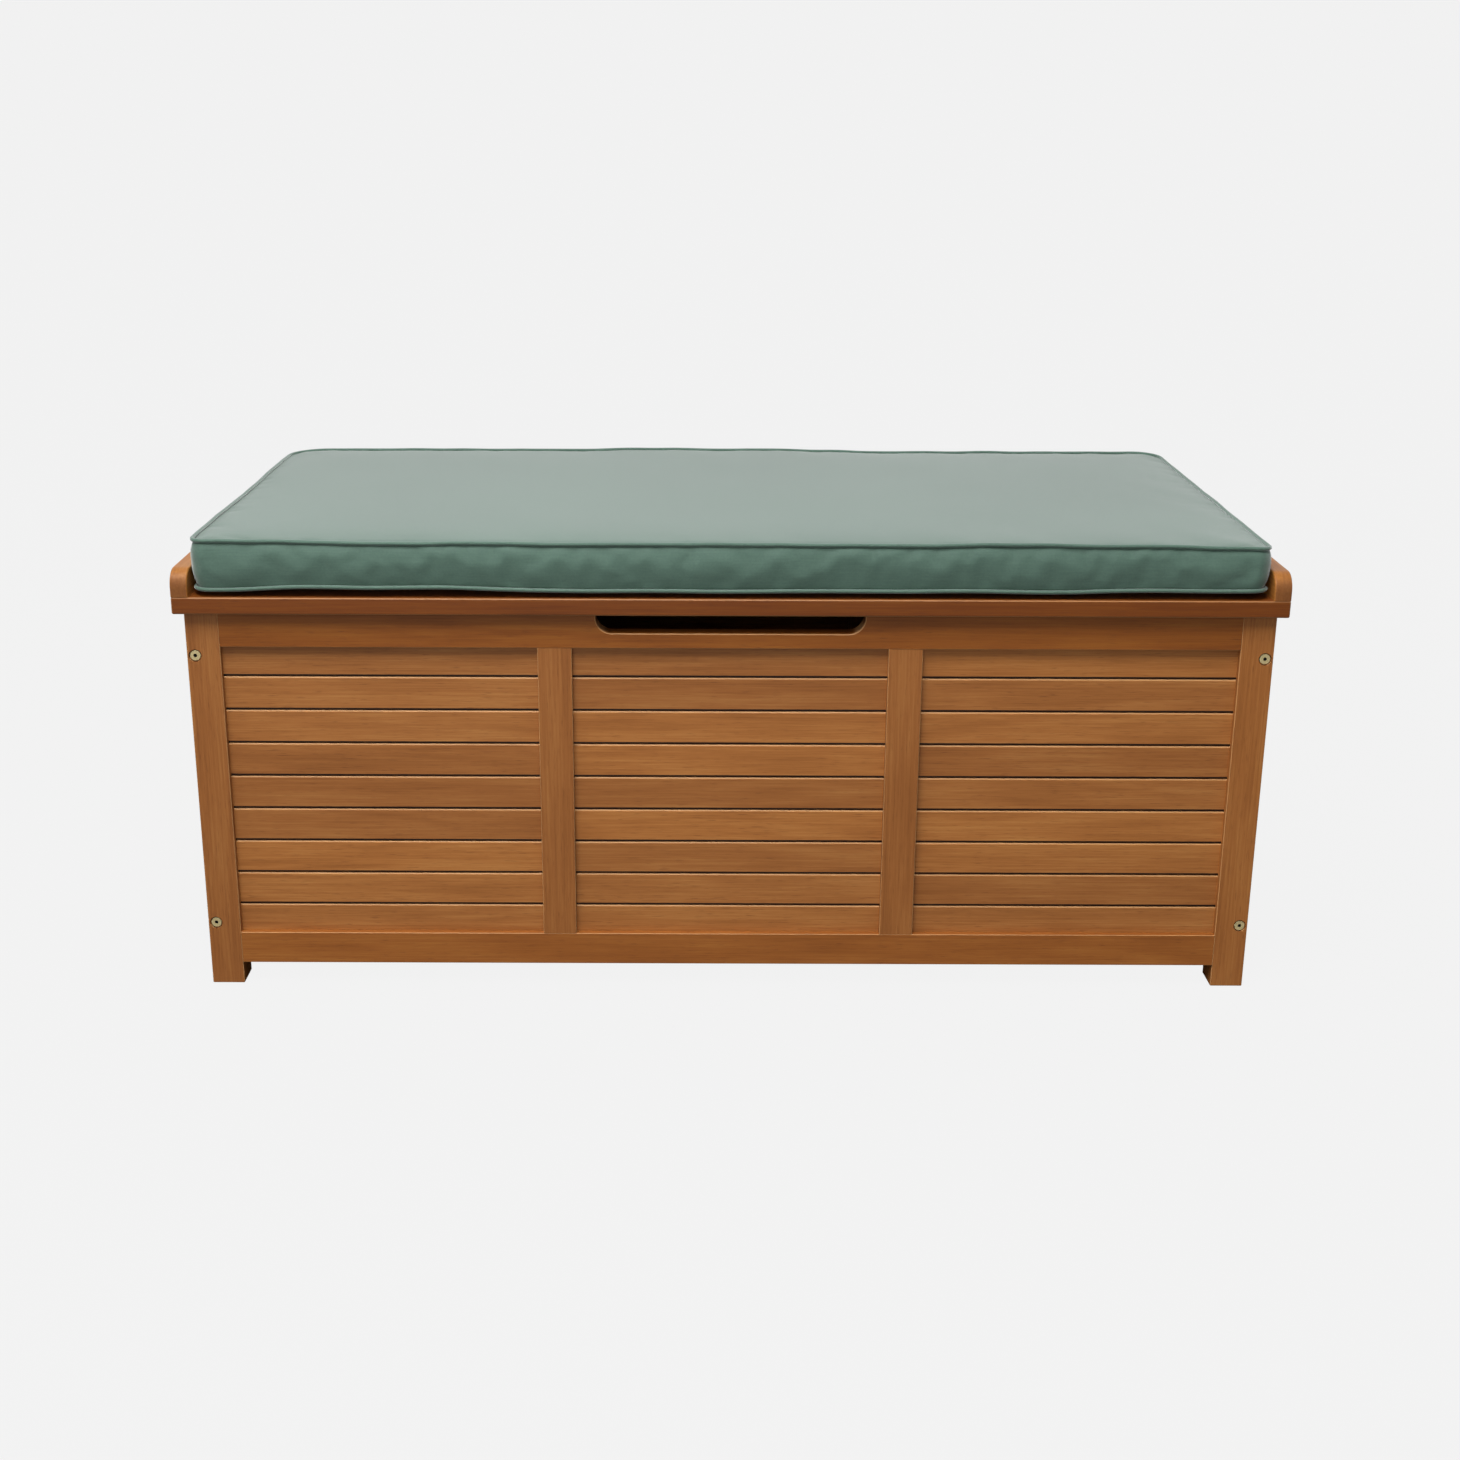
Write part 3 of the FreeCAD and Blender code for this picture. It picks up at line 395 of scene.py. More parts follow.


# %% [markdown]
# All of that goes into one recipe for a board. The grain's axis, the board's size, the stain and
# the share of painted highlight and wear on the edges are what differ between rails, slats, posts
# and lid boards.

# %% Recipe for timber
LOG_SHIFT = (9.0, 9.0, 9.0)  # The log is this many metres long and wide.
BOARD_TONES = ((0.0, "E6DCD4"), (0.55, "F6F0EA"), (1.0, "FFF8EC"))
PORES = (0.62, 0.74)  # The noise at a pore's rim and at its middle.
PORE_SHADE = "5A2F14"
PORE_SHARE = 0.45
END_GRAIN_SHADE = "6B3D1E"
END_SHARE = 0.6
# Eased edges are painted paler, partly as wear and partly as a painted highlight.
EDGE_HIGHLIGHT_AND_WEAR = "D2A26E"
EDGE_HIGHLIGHT_AND_WEAR_SHARE = 0.6
# Painted shade in the joints between slats.
JOINT_SHADE_COLOUR = "1C0C04"
PLANED = (0.52, 0.42)  # Roughness from the dull fibres to the bright ones.
END_DULLER = 0.2
OIL_GLOSS = 0.3
PORE_DEPTH = 0.6
GRAIN_RELIEF = 0.2 * MM


def timber(name, along, cell, origin, stain="FFFFFF", edge_highlight_and_wear=EDGE_HIGHLIGHT_AND_WEAR_SHARE, joint=0.0):
    """Oiled hardwood whose fibres run along one axis, in boards of a cell's size."""
    material, tree, shader = new_material(name)
    spot = add(tree, PLACE).outputs
    board, inside = board_cell(tree, spot["Object"], origin, cell)
    sides = add(tree, APART, {0: spot["Object"]}).outputs
    u, v, w = (sides[axis] for axis in GRAIN_AXES[along])
    turned = add(tree, "ShaderNodeCombineXYZ", {0: u, 1: v, 2: w}, 0)
    inputs = {0: board["Color"], 1: LOG_SHIFT, 2: turned}
    log_place = add(tree, VECTOR, inputs, 0, operation="MULTIPLY_ADD")
    marks = {mark: long_marks(tree, log_place, *size) for mark, size in GRAIN.items()}
    marks["rings"] = growth_rings(tree, turned, board, marks["bend"])
    tone = add(tree, RAMP, {0: board["Value"]}, 0, BOARD_TONES)
    pore_mask = add(tree, RANGE, {0: marks["pores"], 1: PORES[0], 2: PORES[1]}, 0)
    pores = add(tree, MATH, {0: pore_mask, 1: PORE_SHARE}, 0, operation="MULTIPLY")
    facing = facing_axes(tree, spot["Normal"])
    end_grain = add(tree, RANGE, {0: facing[along], 1: END_FACING[0], 2: END_FACING[1]}, 0)
    ends = add(tree, MATH, {0: end_grain, 1: END_SHARE}, 0, operation="MULTIPLY")

    colour = wood_figure(tree, marks)
    for blend, share, layer in (
        ("MULTIPLY", 1.0, linear(stain)),
        ("MULTIPLY", 1.0, tone),
        ("MIX", pores, linear(PORE_SHADE)),
        ("MIX", ends, linear(END_GRAIN_SHADE)),
        # Eased edges: partly wear, partly a painted highlight.
        ("MIX", eased_edges(tree, facing, edge_highlight_and_wear), linear(EDGE_HIGHLIGHT_AND_WEAR)),
        # Joints: painted shade.
        ("MIX", slat_joint_shade(tree, inside, joint) if joint else 0.0, linear(JOINT_SHADE_COLOUR)),
    ):
        layers = {0: share, 6: colour, 7: layer}
        colour = add(tree, MIX, layers, 2, data_type="RGBA", blend_type=blend)
    inputs = {0: marks["fibres"], 1: 0.3, 2: 0.7, 3: PLANED[0], 4: PLANED[1]}
    planed = add(tree, RANGE, inputs, 0)
    rough = add(tree, MATH, {0: end_grain, 1: END_DULLER, 2: planed}, 0, operation="MULTIPLY_ADD")
    inputs = {0: pore_mask, 1: -PORE_DEPTH, 2: marks["fine"]}
    height = add(tree, MATH, inputs, 0, operation="MULTIPLY_ADD")
    relief = {"Height": height, "Strength": 0.35, "Distance": GRAIN_RELIEF}
    bump = add(tree, "ShaderNodeBump", relief, 0)
    link(tree, shader, {"Base Color": colour, "Roughness": rough, "Normal": bump})
    link(tree, shader, {"Specular IOR Level": OIL_GLOSS})
    return material


# %% [markdown]
# Where one board ends and the next begins is read from the model, so the finish always fits
# it. Slats and boards that share an object are evenly spaced, so their pitch is enough.

# %% Sizes of the boards, read from the model
slats_low, slats_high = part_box("front_left_slats")
side_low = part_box("left_side_slats")[0]
board_low, board_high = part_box("lid_front_board")
middle_low, middle_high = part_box("lid_middle_boards")
floor_low, floor_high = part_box("floor_boards")
SLAT_ROWS = 9
MIDDLE_BOARDS = 5
FLOOR_BOARDS = 7
FLOOR_GAP = 5 * MM
slat_pitch = (slats_high.z - slats_low.z) / SLAT_ROWS
board_gap = middle_low.y - board_high.y
board_pitch = (middle_high.y - middle_low.y + board_gap) / MIDDLE_BOARDS
floor_pitch = (floor_high.y - floor_low.y + FLOOR_GAP) / FLOOR_BOARDS
print("slat pitch %.1f mm, lid board pitch %.1f mm" % (slat_pitch / MM, board_pitch / MM))

# %% [markdown]
# A cell's size says where one board ends and the next begins. Along the grain it is so long
# that it never cuts a board, except at the slats, where each bay has its own. The front and the
# rear of the box lie in different cells because they lie in different halves of it. The lid's
# front edge is stained darker than the rest. The top rails are darker too, partly stain and
# partly painted shade from the lid above them.

# %% Timber for each kind of board
LONG = 20.0  # Longer than any board.
BAY = 388 * MM  # One bay of slats, from muntin to muntin.
HALF = 300 * MM  # Half of the box's depth.
LONE = 250 * MM  # Wide enough for one post or rail.
SIDE = 500 * MM  # Wide enough for one side of the box.
UPRIGHT_OFFSET = 20 * MM
CROSS_OFFSET = 100 * MM
SLAT_JOINT = 1.8 * MM / slat_pitch
FRAME_STAIN = "F3EFEB"
CURB_STAIN = "F4F4DA"
# Partly stain, partly painted shade from the lid above.
TOP_RAIL_STAIN_AND_SHADE = "DCC68F"
LOW_RAIL_STAIN = "EBDCBE"
LID_STAIN = "D8C49A"
LID_FRONT_STAIN = "BB9E66"
# The lid's front edge has less of the painted edge highlight and wear.
LID_FRONT_EDGE_HIGHLIGHT_AND_WEAR = 0.35

rail_cell, rail_origin = (LONG, HALF, LONE), (-LONG / 2, 0, 0)
cross_cell, cross_origin = (LONE, LONG, LONE), (CROSS_OFFSET, -LONG / 2, 0)
upright_origin = (UPRIGHT_OFFSET, UPRIGHT_OFFSET, -LONG / 2)
lid_origin = (-LONG / 2, board_low.y, -LONG / 2)
floor_origin = (-LONG / 2, floor_low.y, -LONG / 2)
front_origin = (-LONG / 2, -LONG / 2, -LONG / 2)
long_origin = (-BAY / 2, 0, slats_low.z)
side_origin = (0, -LONG / 2, side_low.z)

wood = "oiled hardwood, "
long_slats = timber(wood + "long slats", "X", (BAY, HALF, slat_pitch), long_origin, joint=SLAT_JOINT)
side_slats = timber(wood + "side slats", "Y", (SIDE, LONG, slat_pitch), side_origin, joint=SLAT_JOINT)
top_rails = timber(wood + "top rails", "X", rail_cell, rail_origin, TOP_RAIL_STAIN_AND_SHADE)
low_rails = timber(wood + "bottom rails", "X", rail_cell, rail_origin, LOW_RAIL_STAIN)
uprights = timber(wood + "uprights", "Z", (LONE, LONE, LONG), upright_origin, FRAME_STAIN)
cross_pieces = timber(wood + "cross pieces", "Y", cross_cell, cross_origin, FRAME_STAIN)
# The curbs' round noses get no painted edge highlight or wear.
curb_timber = timber(wood + "curbs", "Y", cross_cell, cross_origin, CURB_STAIN, edge_highlight_and_wear=0.0)
lid_long = timber(wood + "lid boards", "X", (LONG, board_pitch, LONG), lid_origin, LID_STAIN)
lid_front = timber(
    wood + "lid front board", "X", (LONG, LONG, LONG), front_origin, LID_FRONT_STAIN, LID_FRONT_EDGE_HIGHLIGHT_AND_WEAR
)
floor_long = timber(wood + "floor boards", "X", (LONG, floor_pitch, LONG), floor_origin)


# %% Which board takes which timber
def timber_for(name):
    """The timber whose grain runs the way this node's boards lie."""
    if name == "lid_front_board":
        return lid_front
    if name.startswith("lid_") and name.endswith(("board", "boards")):
        return lid_long
    if name == "floor_boards":
        return floor_long
    if name.endswith("slats"):
        return side_slats if "side" in name else long_slats
    if name.endswith(("post", "stiles", "muntins")):
        return uprights
    if name.endswith("end_curb"):
        return curb_timber
    if name.endswith(("side_rails", "battens", "bearers", "dowels")):
        return cross_pieces
    return top_rails if "top" in name else low_rails


# %% [markdown]
# ## Metals and plastics
# The corner bolts are yellow zinc plated: a thin, slightly cloudy brass colour over steel. The
# screws are stainless, the brackets and strut tubes are painted black, the strut rods are
# ground and hard chromed, and the ball sockets are moulded nylon. Metal that is bright all over
# looks like a mirror, so it is dulled in soft clouds of tarnish. Paint and nylon have the fine
# bumps called orange peel, which break up a highlight, and some dust.

# %% Metal and plastic materials
TARNISHED = (0.35, 0.7)
TARNISH_DULLER = 0.14
DUST = "6E6A64"
DUST_PATCH = 28 * MM
DUST_SHARE = 0.25
DUST_DULLER = 0.15
PEEL_RELIEF = 0.1 * MM


def metal(name, colour, worn, roughness, cloud, bare=1.0):
    """A plated or bare metal with cloudy tarnish. A cloud is as wide as the size given, and bare
    is the metal's share of the look, less where a passivated film lies on it."""
    material, tree, shader = new_material(name)
    where = add(tree, PLACE, out="Object")
    clouds = add(tree, NOISE, {"Vector": where, "Scale": 1 / cloud, "Detail": 4.0}, "Fac")
    tarnish = add(tree, RANGE, {0: clouds, 1: TARNISHED[0], 2: TARNISHED[1]}, 0)
    layers = {0: tarnish, 6: linear(colour), 7: linear(worn)}
    paint = add(tree, MIX, layers, 2, data_type="RGBA")
    inputs = {0: clouds, 1: 0.3, 2: 0.7, 3: roughness, 4: roughness + TARNISH_DULLER}
    rough = add(tree, RANGE, inputs, 0)
    link(tree, shader, {"Base Color": paint, "Metallic": bare, "Roughness": rough})
    return material


def moulded(name, colour, roughness, grit):
    """Paint or plastic with a fine orange peel. The grit is the width of one bump."""
    material, tree, shader = new_material(name)
    where = add(tree, PLACE, out="Object")
    peel = add(tree, NOISE, {"Vector": where, "Scale": 1 / grit, "Detail": 2.0}, "Fac")
    dust = add(tree, NOISE, {"Vector": where, "Scale": 1 / DUST_PATCH, "Detail": 3.0}, "Fac")
    pale = add(tree, RANGE, {0: dust, 1: 0.5, 2: 0.8, 4: DUST_SHARE}, 0)
    layers = {0: pale, 6: linear(colour), 7: linear(DUST)}
    paint = add(tree, MIX, layers, 2, data_type="RGBA")
    inputs = {0: dust, 1: 0.3, 2: 0.8, 3: roughness, 4: roughness + DUST_DULLER}
    rough = add(tree, RANGE, inputs, 0)
    relief = {"Height": peel, "Strength": 0.2, "Distance": PEEL_RELIEF}
    bump = add(tree, "ShaderNodeBump", relief, 0)
    link(tree, shader, {"Base Color": paint, "Roughness": rough, "Normal": bump})
    return material


finish_of_slot = {
    "zinc_plated_bolt": metal("yellow zinc plate", "EAD9A6", "C7B279", 0.3, 1.1 * MM, bare=0.45),
    "stainless_screw": metal("stainless steel", "B9B7B2", "8F8D88", 0.28, 1.4 * MM),
    "hinge_steel": metal("zinc plated hinge steel", "B3AC97", "8B8470", 0.34, 3.8 * MM),
    "strut_rod_chrome": metal("hard chrome", "D4D6D8", "C2C4C6", 0.10, 8.0 * MM),
    "bracket_steel": moulded("black powder coat", "1C1C1D", 0.45, 0.6 * MM),
    "strut_tube_paint": moulded("black enamel", "131314", 0.32, 1.1 * MM),
    "strut_fitting_plastic": moulded("moulded nylon", "1A1A1A", 0.5, 0.45 * MM),
}
print("finishes:", ", ".join(finish_of_slot))

# %% [markdown]
# A bolt's hex socket and the ring round the sides of its head get painted shade. The heads face
# forwards and backwards, so how deep a point lies below them is measured along Y.

# %% Painted shade in the bolt sockets
# Painted shade in the sockets and round the heads.
SOCKET_SHADE = "120C06"
SOCKET_SHADE_DEPTHS = (0.4 * MM, 1.2 * MM)


def shaded_below(material, low, high):
    """Paints shade on what lies deeper than the outer faces of the box between two corners."""
    tree = material.node_tree
    shader = tree.nodes["Principled BSDF"]
    unshaded = shader.inputs["Base Color"].links[0].from_socket
    where = add(tree, PLACE, out="Object")
    y = add(tree, APART, {0: where}, "Y")
    centred = add(tree, MATH, {0: y, 1: (low.y + high.y) / 2}, 0, operation="SUBTRACT")
    off_middle = add(tree, MATH, {0: centred}, 0, operation="ABSOLUTE")
    inputs = {0: (high.y - low.y) / 2, 1: off_middle}
    depth = add(tree, MATH, inputs, 0, operation="SUBTRACT")
    shaded = add(tree, RANGE, {0: depth, 1: SOCKET_SHADE_DEPTHS[0], 2: SOCKET_SHADE_DEPTHS[1]}, 0)
    layers = {0: shaded, 6: unshaded, 7: linear(SOCKET_SHADE)}
    link(tree, shader, {"Base Color": add(tree, MIX, layers, 2, data_type="RGBA")})


shaded_below(finish_of_slot["zinc_plated_bolt"], *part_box("corner_bolts"))

# %% Give every carried-over node its finish
slot_of_node = {row["node"]: row["material_slot"] for row in frame["record"]["subparts"]}
hard_nodes = {name: obj for name, obj in nodes.items() if not name.startswith("cushion_")}
for name, obj in hard_nodes.items():
    obj.data.materials.clear()
    obj.data.materials.append(finish_of_slot.get(slot_of_node[name]) or timber_for(name))
print("dressed", len(hard_nodes), "nodes")

# %% [markdown]
# ## The cushion
# A box cushion is three panels of cloth, a top, a bottom and a band between them called the
# boxing, sewn together with a corded edge, the piping, in both seams. Inside is one slab of
# foam. The seams are tight and hold their line, the cloth between them is a little slack, and
# the foam pushes it out, so the top is crowned and the boxing bulges and ripples. A subdivided
# box would swell evenly and show no slack, so the cover is a cloth simulation whose seams are
# pinned. Its points may only move a few millimetres, because foam doesn't let cloth go further.

# %% Sizes of the cushion
cover_low, cover_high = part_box("cushion_cover")
MIDDLE = (cover_low + cover_high) / 2
FRONT_CORNER = 15 * MM
BACK_CORNER = 44 * MM
SEAM_INSET = 0.8 * MM
SEAM_LIFT = 1.2 * MM
SEAM_RISE = 7.3 * MM
TOP_CROWN = 3.4 * MM
CROWN_REACH = 26 * MM
FOAM_LEAN = 2.2 * MM
BOTTOM_TUCK = 1.5 * MM
UNDERSIDE_GAP = 0.4 * MM
CELL = 8.5 * MM
CORNER_CELLS = 3
half_x = (cover_high.x - cover_low.x) / 2 - SEAM_INSET
half_y = (cover_high.y - cover_low.y) / 2 - SEAM_INSET
print("cushion %.0f mm by %.0f mm between its seams" % (2 * half_x / MM, 2 * half_y / MM))


# %% Lines of the cushion's grid
def grid_lines(half):
    """Places of the grid lines across a panel, with even cells and a few in each corner."""
    straight = half - FRONT_CORNER
    count = round(2 * straight / CELL)
    corner = [FRONT_CORNER * k / CORNER_CELLS for k in range(CORNER_CELLS)]
    lines = [-half + c for c in corner]
    lines += [-straight + 2 * straight * k / count for k in range(count + 1)]
    return lines + [half - c for c in reversed(corner)]


x_lines, y_lines = grid_lines(half_x), grid_lines(half_y)
NX, NY = len(x_lines), len(y_lines)
print("panel grid:", NX, "by", NY, "lines")

# %% [markdown]
# The panels are cut with rounded corners, so the square grid is bent round them: a point of the
# corner's square goes to the matching point of a quarter circle. The front corners are crisp,
# and the back ones have sagged and are rounder.


# %% Corners of the cushion
def corner_radius(y):
    """The radius of the corners at this end of the cushion."""
    return BACK_CORNER if y > 0 else FRONT_CORNER


def rounded(x, y):
    """Moves a point of the square-cornered panel to its place in the round-cornered one."""
    radius = corner_radius(y)
    straight_x, straight_y = half_x - radius, half_y - radius
    over_x, over_y = abs(x) - straight_x, abs(y) - straight_y
    if over_x <= 0 or over_y <= 0:
        return x, y
    a, b = over_x / radius, over_y / radius
    new_x = straight_x + radius * a * math.sqrt(1 - b * b / 2)
    new_y = straight_y + radius * b * math.sqrt(1 - a * a / 2)
    return math.copysign(new_x, x), math.copysign(new_y, y)


def outward(point):
    """The level direction that a point of the cushion's edge faces."""
    x, y = point[0] - MIDDLE.x, point[1] - MIDDLE.y
    reach_x, reach_y = half_x - corner_radius(y), half_y - corner_radius(y)
    core = (max(-reach_x, min(reach_x, x)), max(-reach_y, min(reach_y, y)))
    return Vector((x - core[0], y - core[1], 0)).normalized()


# %% [markdown]
# A sewn seam is never quite straight. Both seams wander by a few millimetres in long and short
# waves, the foam has sunk a little at one end of the front, and the top panel rises from its
# seam to the crown over a few centimetres.

# %% Seam lines and panel heights
WAVE_APART = 3.7  # The step between two waves' places in the noise.
TOP_SLANT = 0.7
TOP_WANDER = (1.3, (0.42, 0.13, 0.05), 3.0 * MM)  # Seed, wave lengths in metres, and size.
BOTTOM_SLANT = -0.6
BOTTOM_WANDER = (8.1, (0.36, 0.12), 5.5 * MM)
WANDER_REACH = 45 * MM
UNDERSIDE_QUICKER = 1.1


def wander(along, seed, lengths, size):
    """A smooth uneven wave along a seam, the same each run."""
    total = 0.0
    for k, length in enumerate(lengths):
        total += noise.noise(Vector((along / length, seed, WAVE_APART * k))) / (k + 1)
    return total * size


def top_seam(x, y, share):
    """The height of the upper seam at a point of the edge, with a share of its unevenness."""
    uneven = share * wander(x + TOP_SLANT * y, *TOP_WANDER)
    toward_front = (half_y - y) / (2 * half_y)
    return cover_high.z + SEAM_LIFT + uneven - FOAM_LEAN * toward_front * x / half_x


def bottom_seam(x, y):
    """The height of the lower seam at a point of the edge."""
    return cover_low.z + SEAM_RISE + wander(x + BOTTOM_SLANT * y, *BOTTOM_WANDER)


def edge_distance(x, y):
    """How far inside the panel's edge a point lies."""
    return max(0.0, min(half_x - abs(x), half_y - abs(y)))


def panel_height(x, y, upper):
    """The height of the top or bottom panel over a point, seam height at its edge."""
    far = 1 - math.exp(-edge_distance(x, y) / CROWN_REACH)
    if upper:
        share = math.exp(-edge_distance(x, y) / WANDER_REACH)
        return top_seam(x, y, share) + TOP_CROWN * far
    seam = bottom_seam(x, y)
    return seam + (cover_low.z + UNDERSIDE_GAP - seam) * min(1.0, far * UNDERSIDE_QUICKER)


# %% [markdown]
# The boxing is a column of points for each point of the seams. It bulges most just under the
# upper seam, where the foam is held up and out, and less toward the lid.

# %% Cushion cloth before it is filled
BAND_ROWS = 10
BAND_BULGE = 4.0 * MM
BAND_SHAPE = 3.0  # The higher, the flatter the middle and the tighter the turn to the seams.
BAND_UPPER = 1.15
BAND_LESS_BELOW = 0.35


def edge_walk():
    """The grid's outer points, in order round the panel."""
    walk = [(i, 0) for i in range(NX - 1)]
    walk += [(NX - 1, j) for j in range(NY - 1)]
    walk += [(i, NY - 1) for i in range(NX - 1, 0, -1)]
    return walk + [(0, j) for j in range(NY - 1, 0, -1)]


def panels():
    """The points and faces of the top and bottom, and the number of each grid point."""
    verts, number, faces = [], {}, []
    for upper in (True, False):
        for i, x in enumerate(x_lines):
            for j, y in enumerate(y_lines):
                px, py = rounded(x, y)
                if not upper:
                    px *= 1 - BOTTOM_TUCK / half_x
                number[upper, i, j] = len(verts)
                verts.append((MIDDLE.x + px, MIDDLE.y + py, panel_height(x, y, upper)))
    for i in range(NX - 1):
        for j in range(NY - 1):
            corners = ((i, j), (i + 1, j), (i + 1, j + 1), (i, j + 1))
            faces.append([number[True, a, b] for a, b in corners])
            faces.append([number[False, a, b] for a, b in (corners[0], *reversed(corners[1:]))])
    return verts, number, faces


def cushion_cloth():
    """The closed cover's points and faces, and its boxing as columns from seam to seam."""
    verts, number, faces = panels()
    columns = []
    for i, j in edge_walk():
        column = [number[True, i, j]]
        top, low = Vector(verts[number[True, i, j]]), Vector(verts[number[False, i, j]])
        for row in range(1, BAND_ROWS):
            t = row / BAND_ROWS
            fullness = (1 - abs(1 - 2 * t) ** BAND_SHAPE) * (BAND_UPPER - BAND_LESS_BELOW * t)
            bulge = outward(top) * (BAND_BULGE * fullness)
            column.append(len(verts))
            verts.append(tuple(top.lerp(low, t) + bulge))
        columns.append(column + [number[False, i, j]])
    for a, b in zip(columns, columns[1:] + columns[:1]):
        faces += [(a[r], a[r + 1], b[r + 1], b[r]) for r in range(BAND_ROWS)]
    return verts, faces, columns


verts, faces, columns = cushion_cloth()
top_row, bottom_row = ({column[end] for column in columns} for end in (0, -1))
seam_points = top_row | bottom_row
cloth_mesh = bpy.data.meshes.new("cushion")
cloth_mesh.from_pydata(verts, [], faces)
cushion = bpy.data.objects.new("cushion", cloth_mesh)
bpy.context.scene.collection.objects.link(cushion)
print("cushion cloth:", len(verts), "points", len(faces), "faces")

# %% [markdown]
# The cloth is a little larger than the space between its seams, so it has to ripple. Air
# pressure stands for the foam's push. After twenty steps the result is kept, and any point
# that has gone further than foam allows is brought back along the line it moved on.

# %% Fill the cushion
CLOTH_STEPS = 20
CLOTH_SETTINGS = {
    "quality": 6,
    "mass": 0.25,
    "tension_stiffness": 12,
    "compression_stiffness": 12,
    "bending_stiffness": 0.6,
    "shrink_min": -0.014,  # A shrink below nothing makes the cloth larger than it was cut.
    "use_pressure": True,
    "uniform_pressure_force": 3.0,
    "vertex_group_mass": "held",
}
TOP_CAP = 0.8 * MM
BAND_CAP = 2.3 * MM
HELD_BELOW = 0.8 * MM
STILL = 1e-9


def pin_seams(obj):
    """Holds both seams, and the part of the bottom that lies on the lid."""
    group = obj.vertex_groups.new(name="held")
    lid_line = cover_low.z + HELD_BELOW
    held = seam_points | {v.index for v in obj.data.vertices if v.co.z < lid_line}
    group.add(sorted(held), 1.0, "REPLACE")


def filled_places(obj):
    """Runs the cloth, and gives where each point ends."""
    cloth = obj.modifiers.new("cloth", "CLOTH")
    for setting, value in CLOTH_SETTINGS.items():
        setattr(cloth.settings, setting, value)
    cloth.settings.effector_weights.gravity = 0.0
    cloth.collision_settings.use_collision = False
    cloth.point_cache.frame_start = 1
    cloth.point_cache.frame_end = CLOTH_STEPS
    for step in range(1, CLOTH_STEPS + 1):
        bpy.context.scene.frame_set(step)
    evaluated = obj.evaluated_get(bpy.context.evaluated_depsgraph_get())
    places = [v.co.copy() for v in evaluated.to_mesh().vertices]
    evaluated.to_mesh_clear()
    obj.modifiers.remove(cloth)
    bpy.context.scene.frame_set(1)
    return places


def fill_cushion(obj):
    """Fills the cover, and holds every point within its cap."""
    rest = [v.co.copy() for v in obj.data.vertices]
    pin_seams(obj)
    band = {p for column in columns for p in column[1:-1]}
    for vertex, start, end in zip(obj.data.vertices, rest, filled_places(obj)):
        way = end - start
        cap = BAND_CAP if vertex.index in band else TOP_CAP
        if way.length > STILL:
            way *= cap * math.tanh(way.length / cap) / way.length
        vertex.co = start + way


fill_cushion(cushion)
print("filled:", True)

# %% [markdown]
# Subdivision rounds the coarse grid, and a crease along both seams keeps them sharp. The seams'
# lines are read first, because the piping follows them.

# %% Finish the cushion's mesh
SEAM_CREASE = 0.9
top_path, bottom_path = (
    [cushion.data.vertices[column[end]].co.copy() for column in columns] for end in (0, -1)
)


def same_seam(a, b):
    """Whether two points lie on the same seam."""
    return (a in top_row) == (b in top_row) and (a in bottom_row) == (b in bottom_row)


def smooth_cushion(obj):
    """One level of subdivision that keeps both seams as sharp lines, applied."""
    crease = obj.data.attributes.new("crease_edge", "FLOAT", "EDGE")
    for edge in obj.data.edges:
        if seam_points.issuperset(edge.vertices) and same_seam(*edge.vertices):
            crease.data[edge.index].value = SEAM_CREASE
    modifier = obj.modifiers.new("finer", "SUBSURF")
    modifier.levels = modifier.render_levels = 1
    depsgraph = bpy.context.evaluated_depsgraph_get()
    finer = bpy.data.meshes.new_from_object(obj.evaluated_get(depsgraph))
    obj.modifiers.remove(modifier)
    obj.data = finer
    obj.data.shade_smooth()


smooth_cushion(cushion)
print("cushion mesh:", len(cushion.data.polygons), "faces")

# %% [markdown]
# The thread pulls the cloth in at each stitch, so small gathers run into the seams. Away from
# them the foam's own surface makes broad, shallow dents.

# %% Puckers beside the seams
PUCKER_REACH = 13 * MM
PUCKER_SIZE = 0.55 * MM
PUCKER_SPACING = 16 * MM
PUCKER_LENGTH = 50 * MM
SEAM_ZONE = 30 * MM
LONG_SIDE_SEED = 2.0
END_SEED = 9.0
DENT_SIZE = 0.35 * MM
DENT_ACROSS = 110 * MM
DENT_HIGH = 60 * MM
DENT_SEED = 4.0


def pucker(obj):
    """Moves each point along its normal, by the gathers near the seams and the broad dents."""
    mesh = obj.data
    normals = [v.normal.copy() for v in mesh.vertices]
    for vertex, normal in zip(mesh.vertices, normals):
        x, y, z = vertex.co - MIDDLE
        seam_gap = min(cover_high.z - vertex.co.z, vertex.co.z - cover_low.z)
        near = math.exp(-max(edge_distance(x, y), min(seam_gap, SEAM_ZONE)) / PUCKER_REACH)
        along, seed = (x, LONG_SIDE_SEED) if abs(y) > half_y - SEAM_ZONE else (y, END_SEED)
        gather = noise.noise(Vector((along / PUCKER_SPACING, z / PUCKER_LENGTH, seed)))
        spot = Vector((x / DENT_ACROSS, y / DENT_ACROSS, z / DENT_HIGH + DENT_SEED))
        dent = noise.noise(spot)
        vertex.co += normal * (gather * PUCKER_SIZE * near + dent * DENT_SIZE)


pucker(cushion)

# %% [markdown]
# ## The cloth
# Outdoor cushions are covered in solution-dyed polyester canvas, a plain weave of slubby
# yarns. Its thread is about half a millimetre, too fine to show at this distance, so the
# weave is drawn at three times that and faintly. A soft sheen at glancing angles comes from
# the fibres that stand up from the yarn.

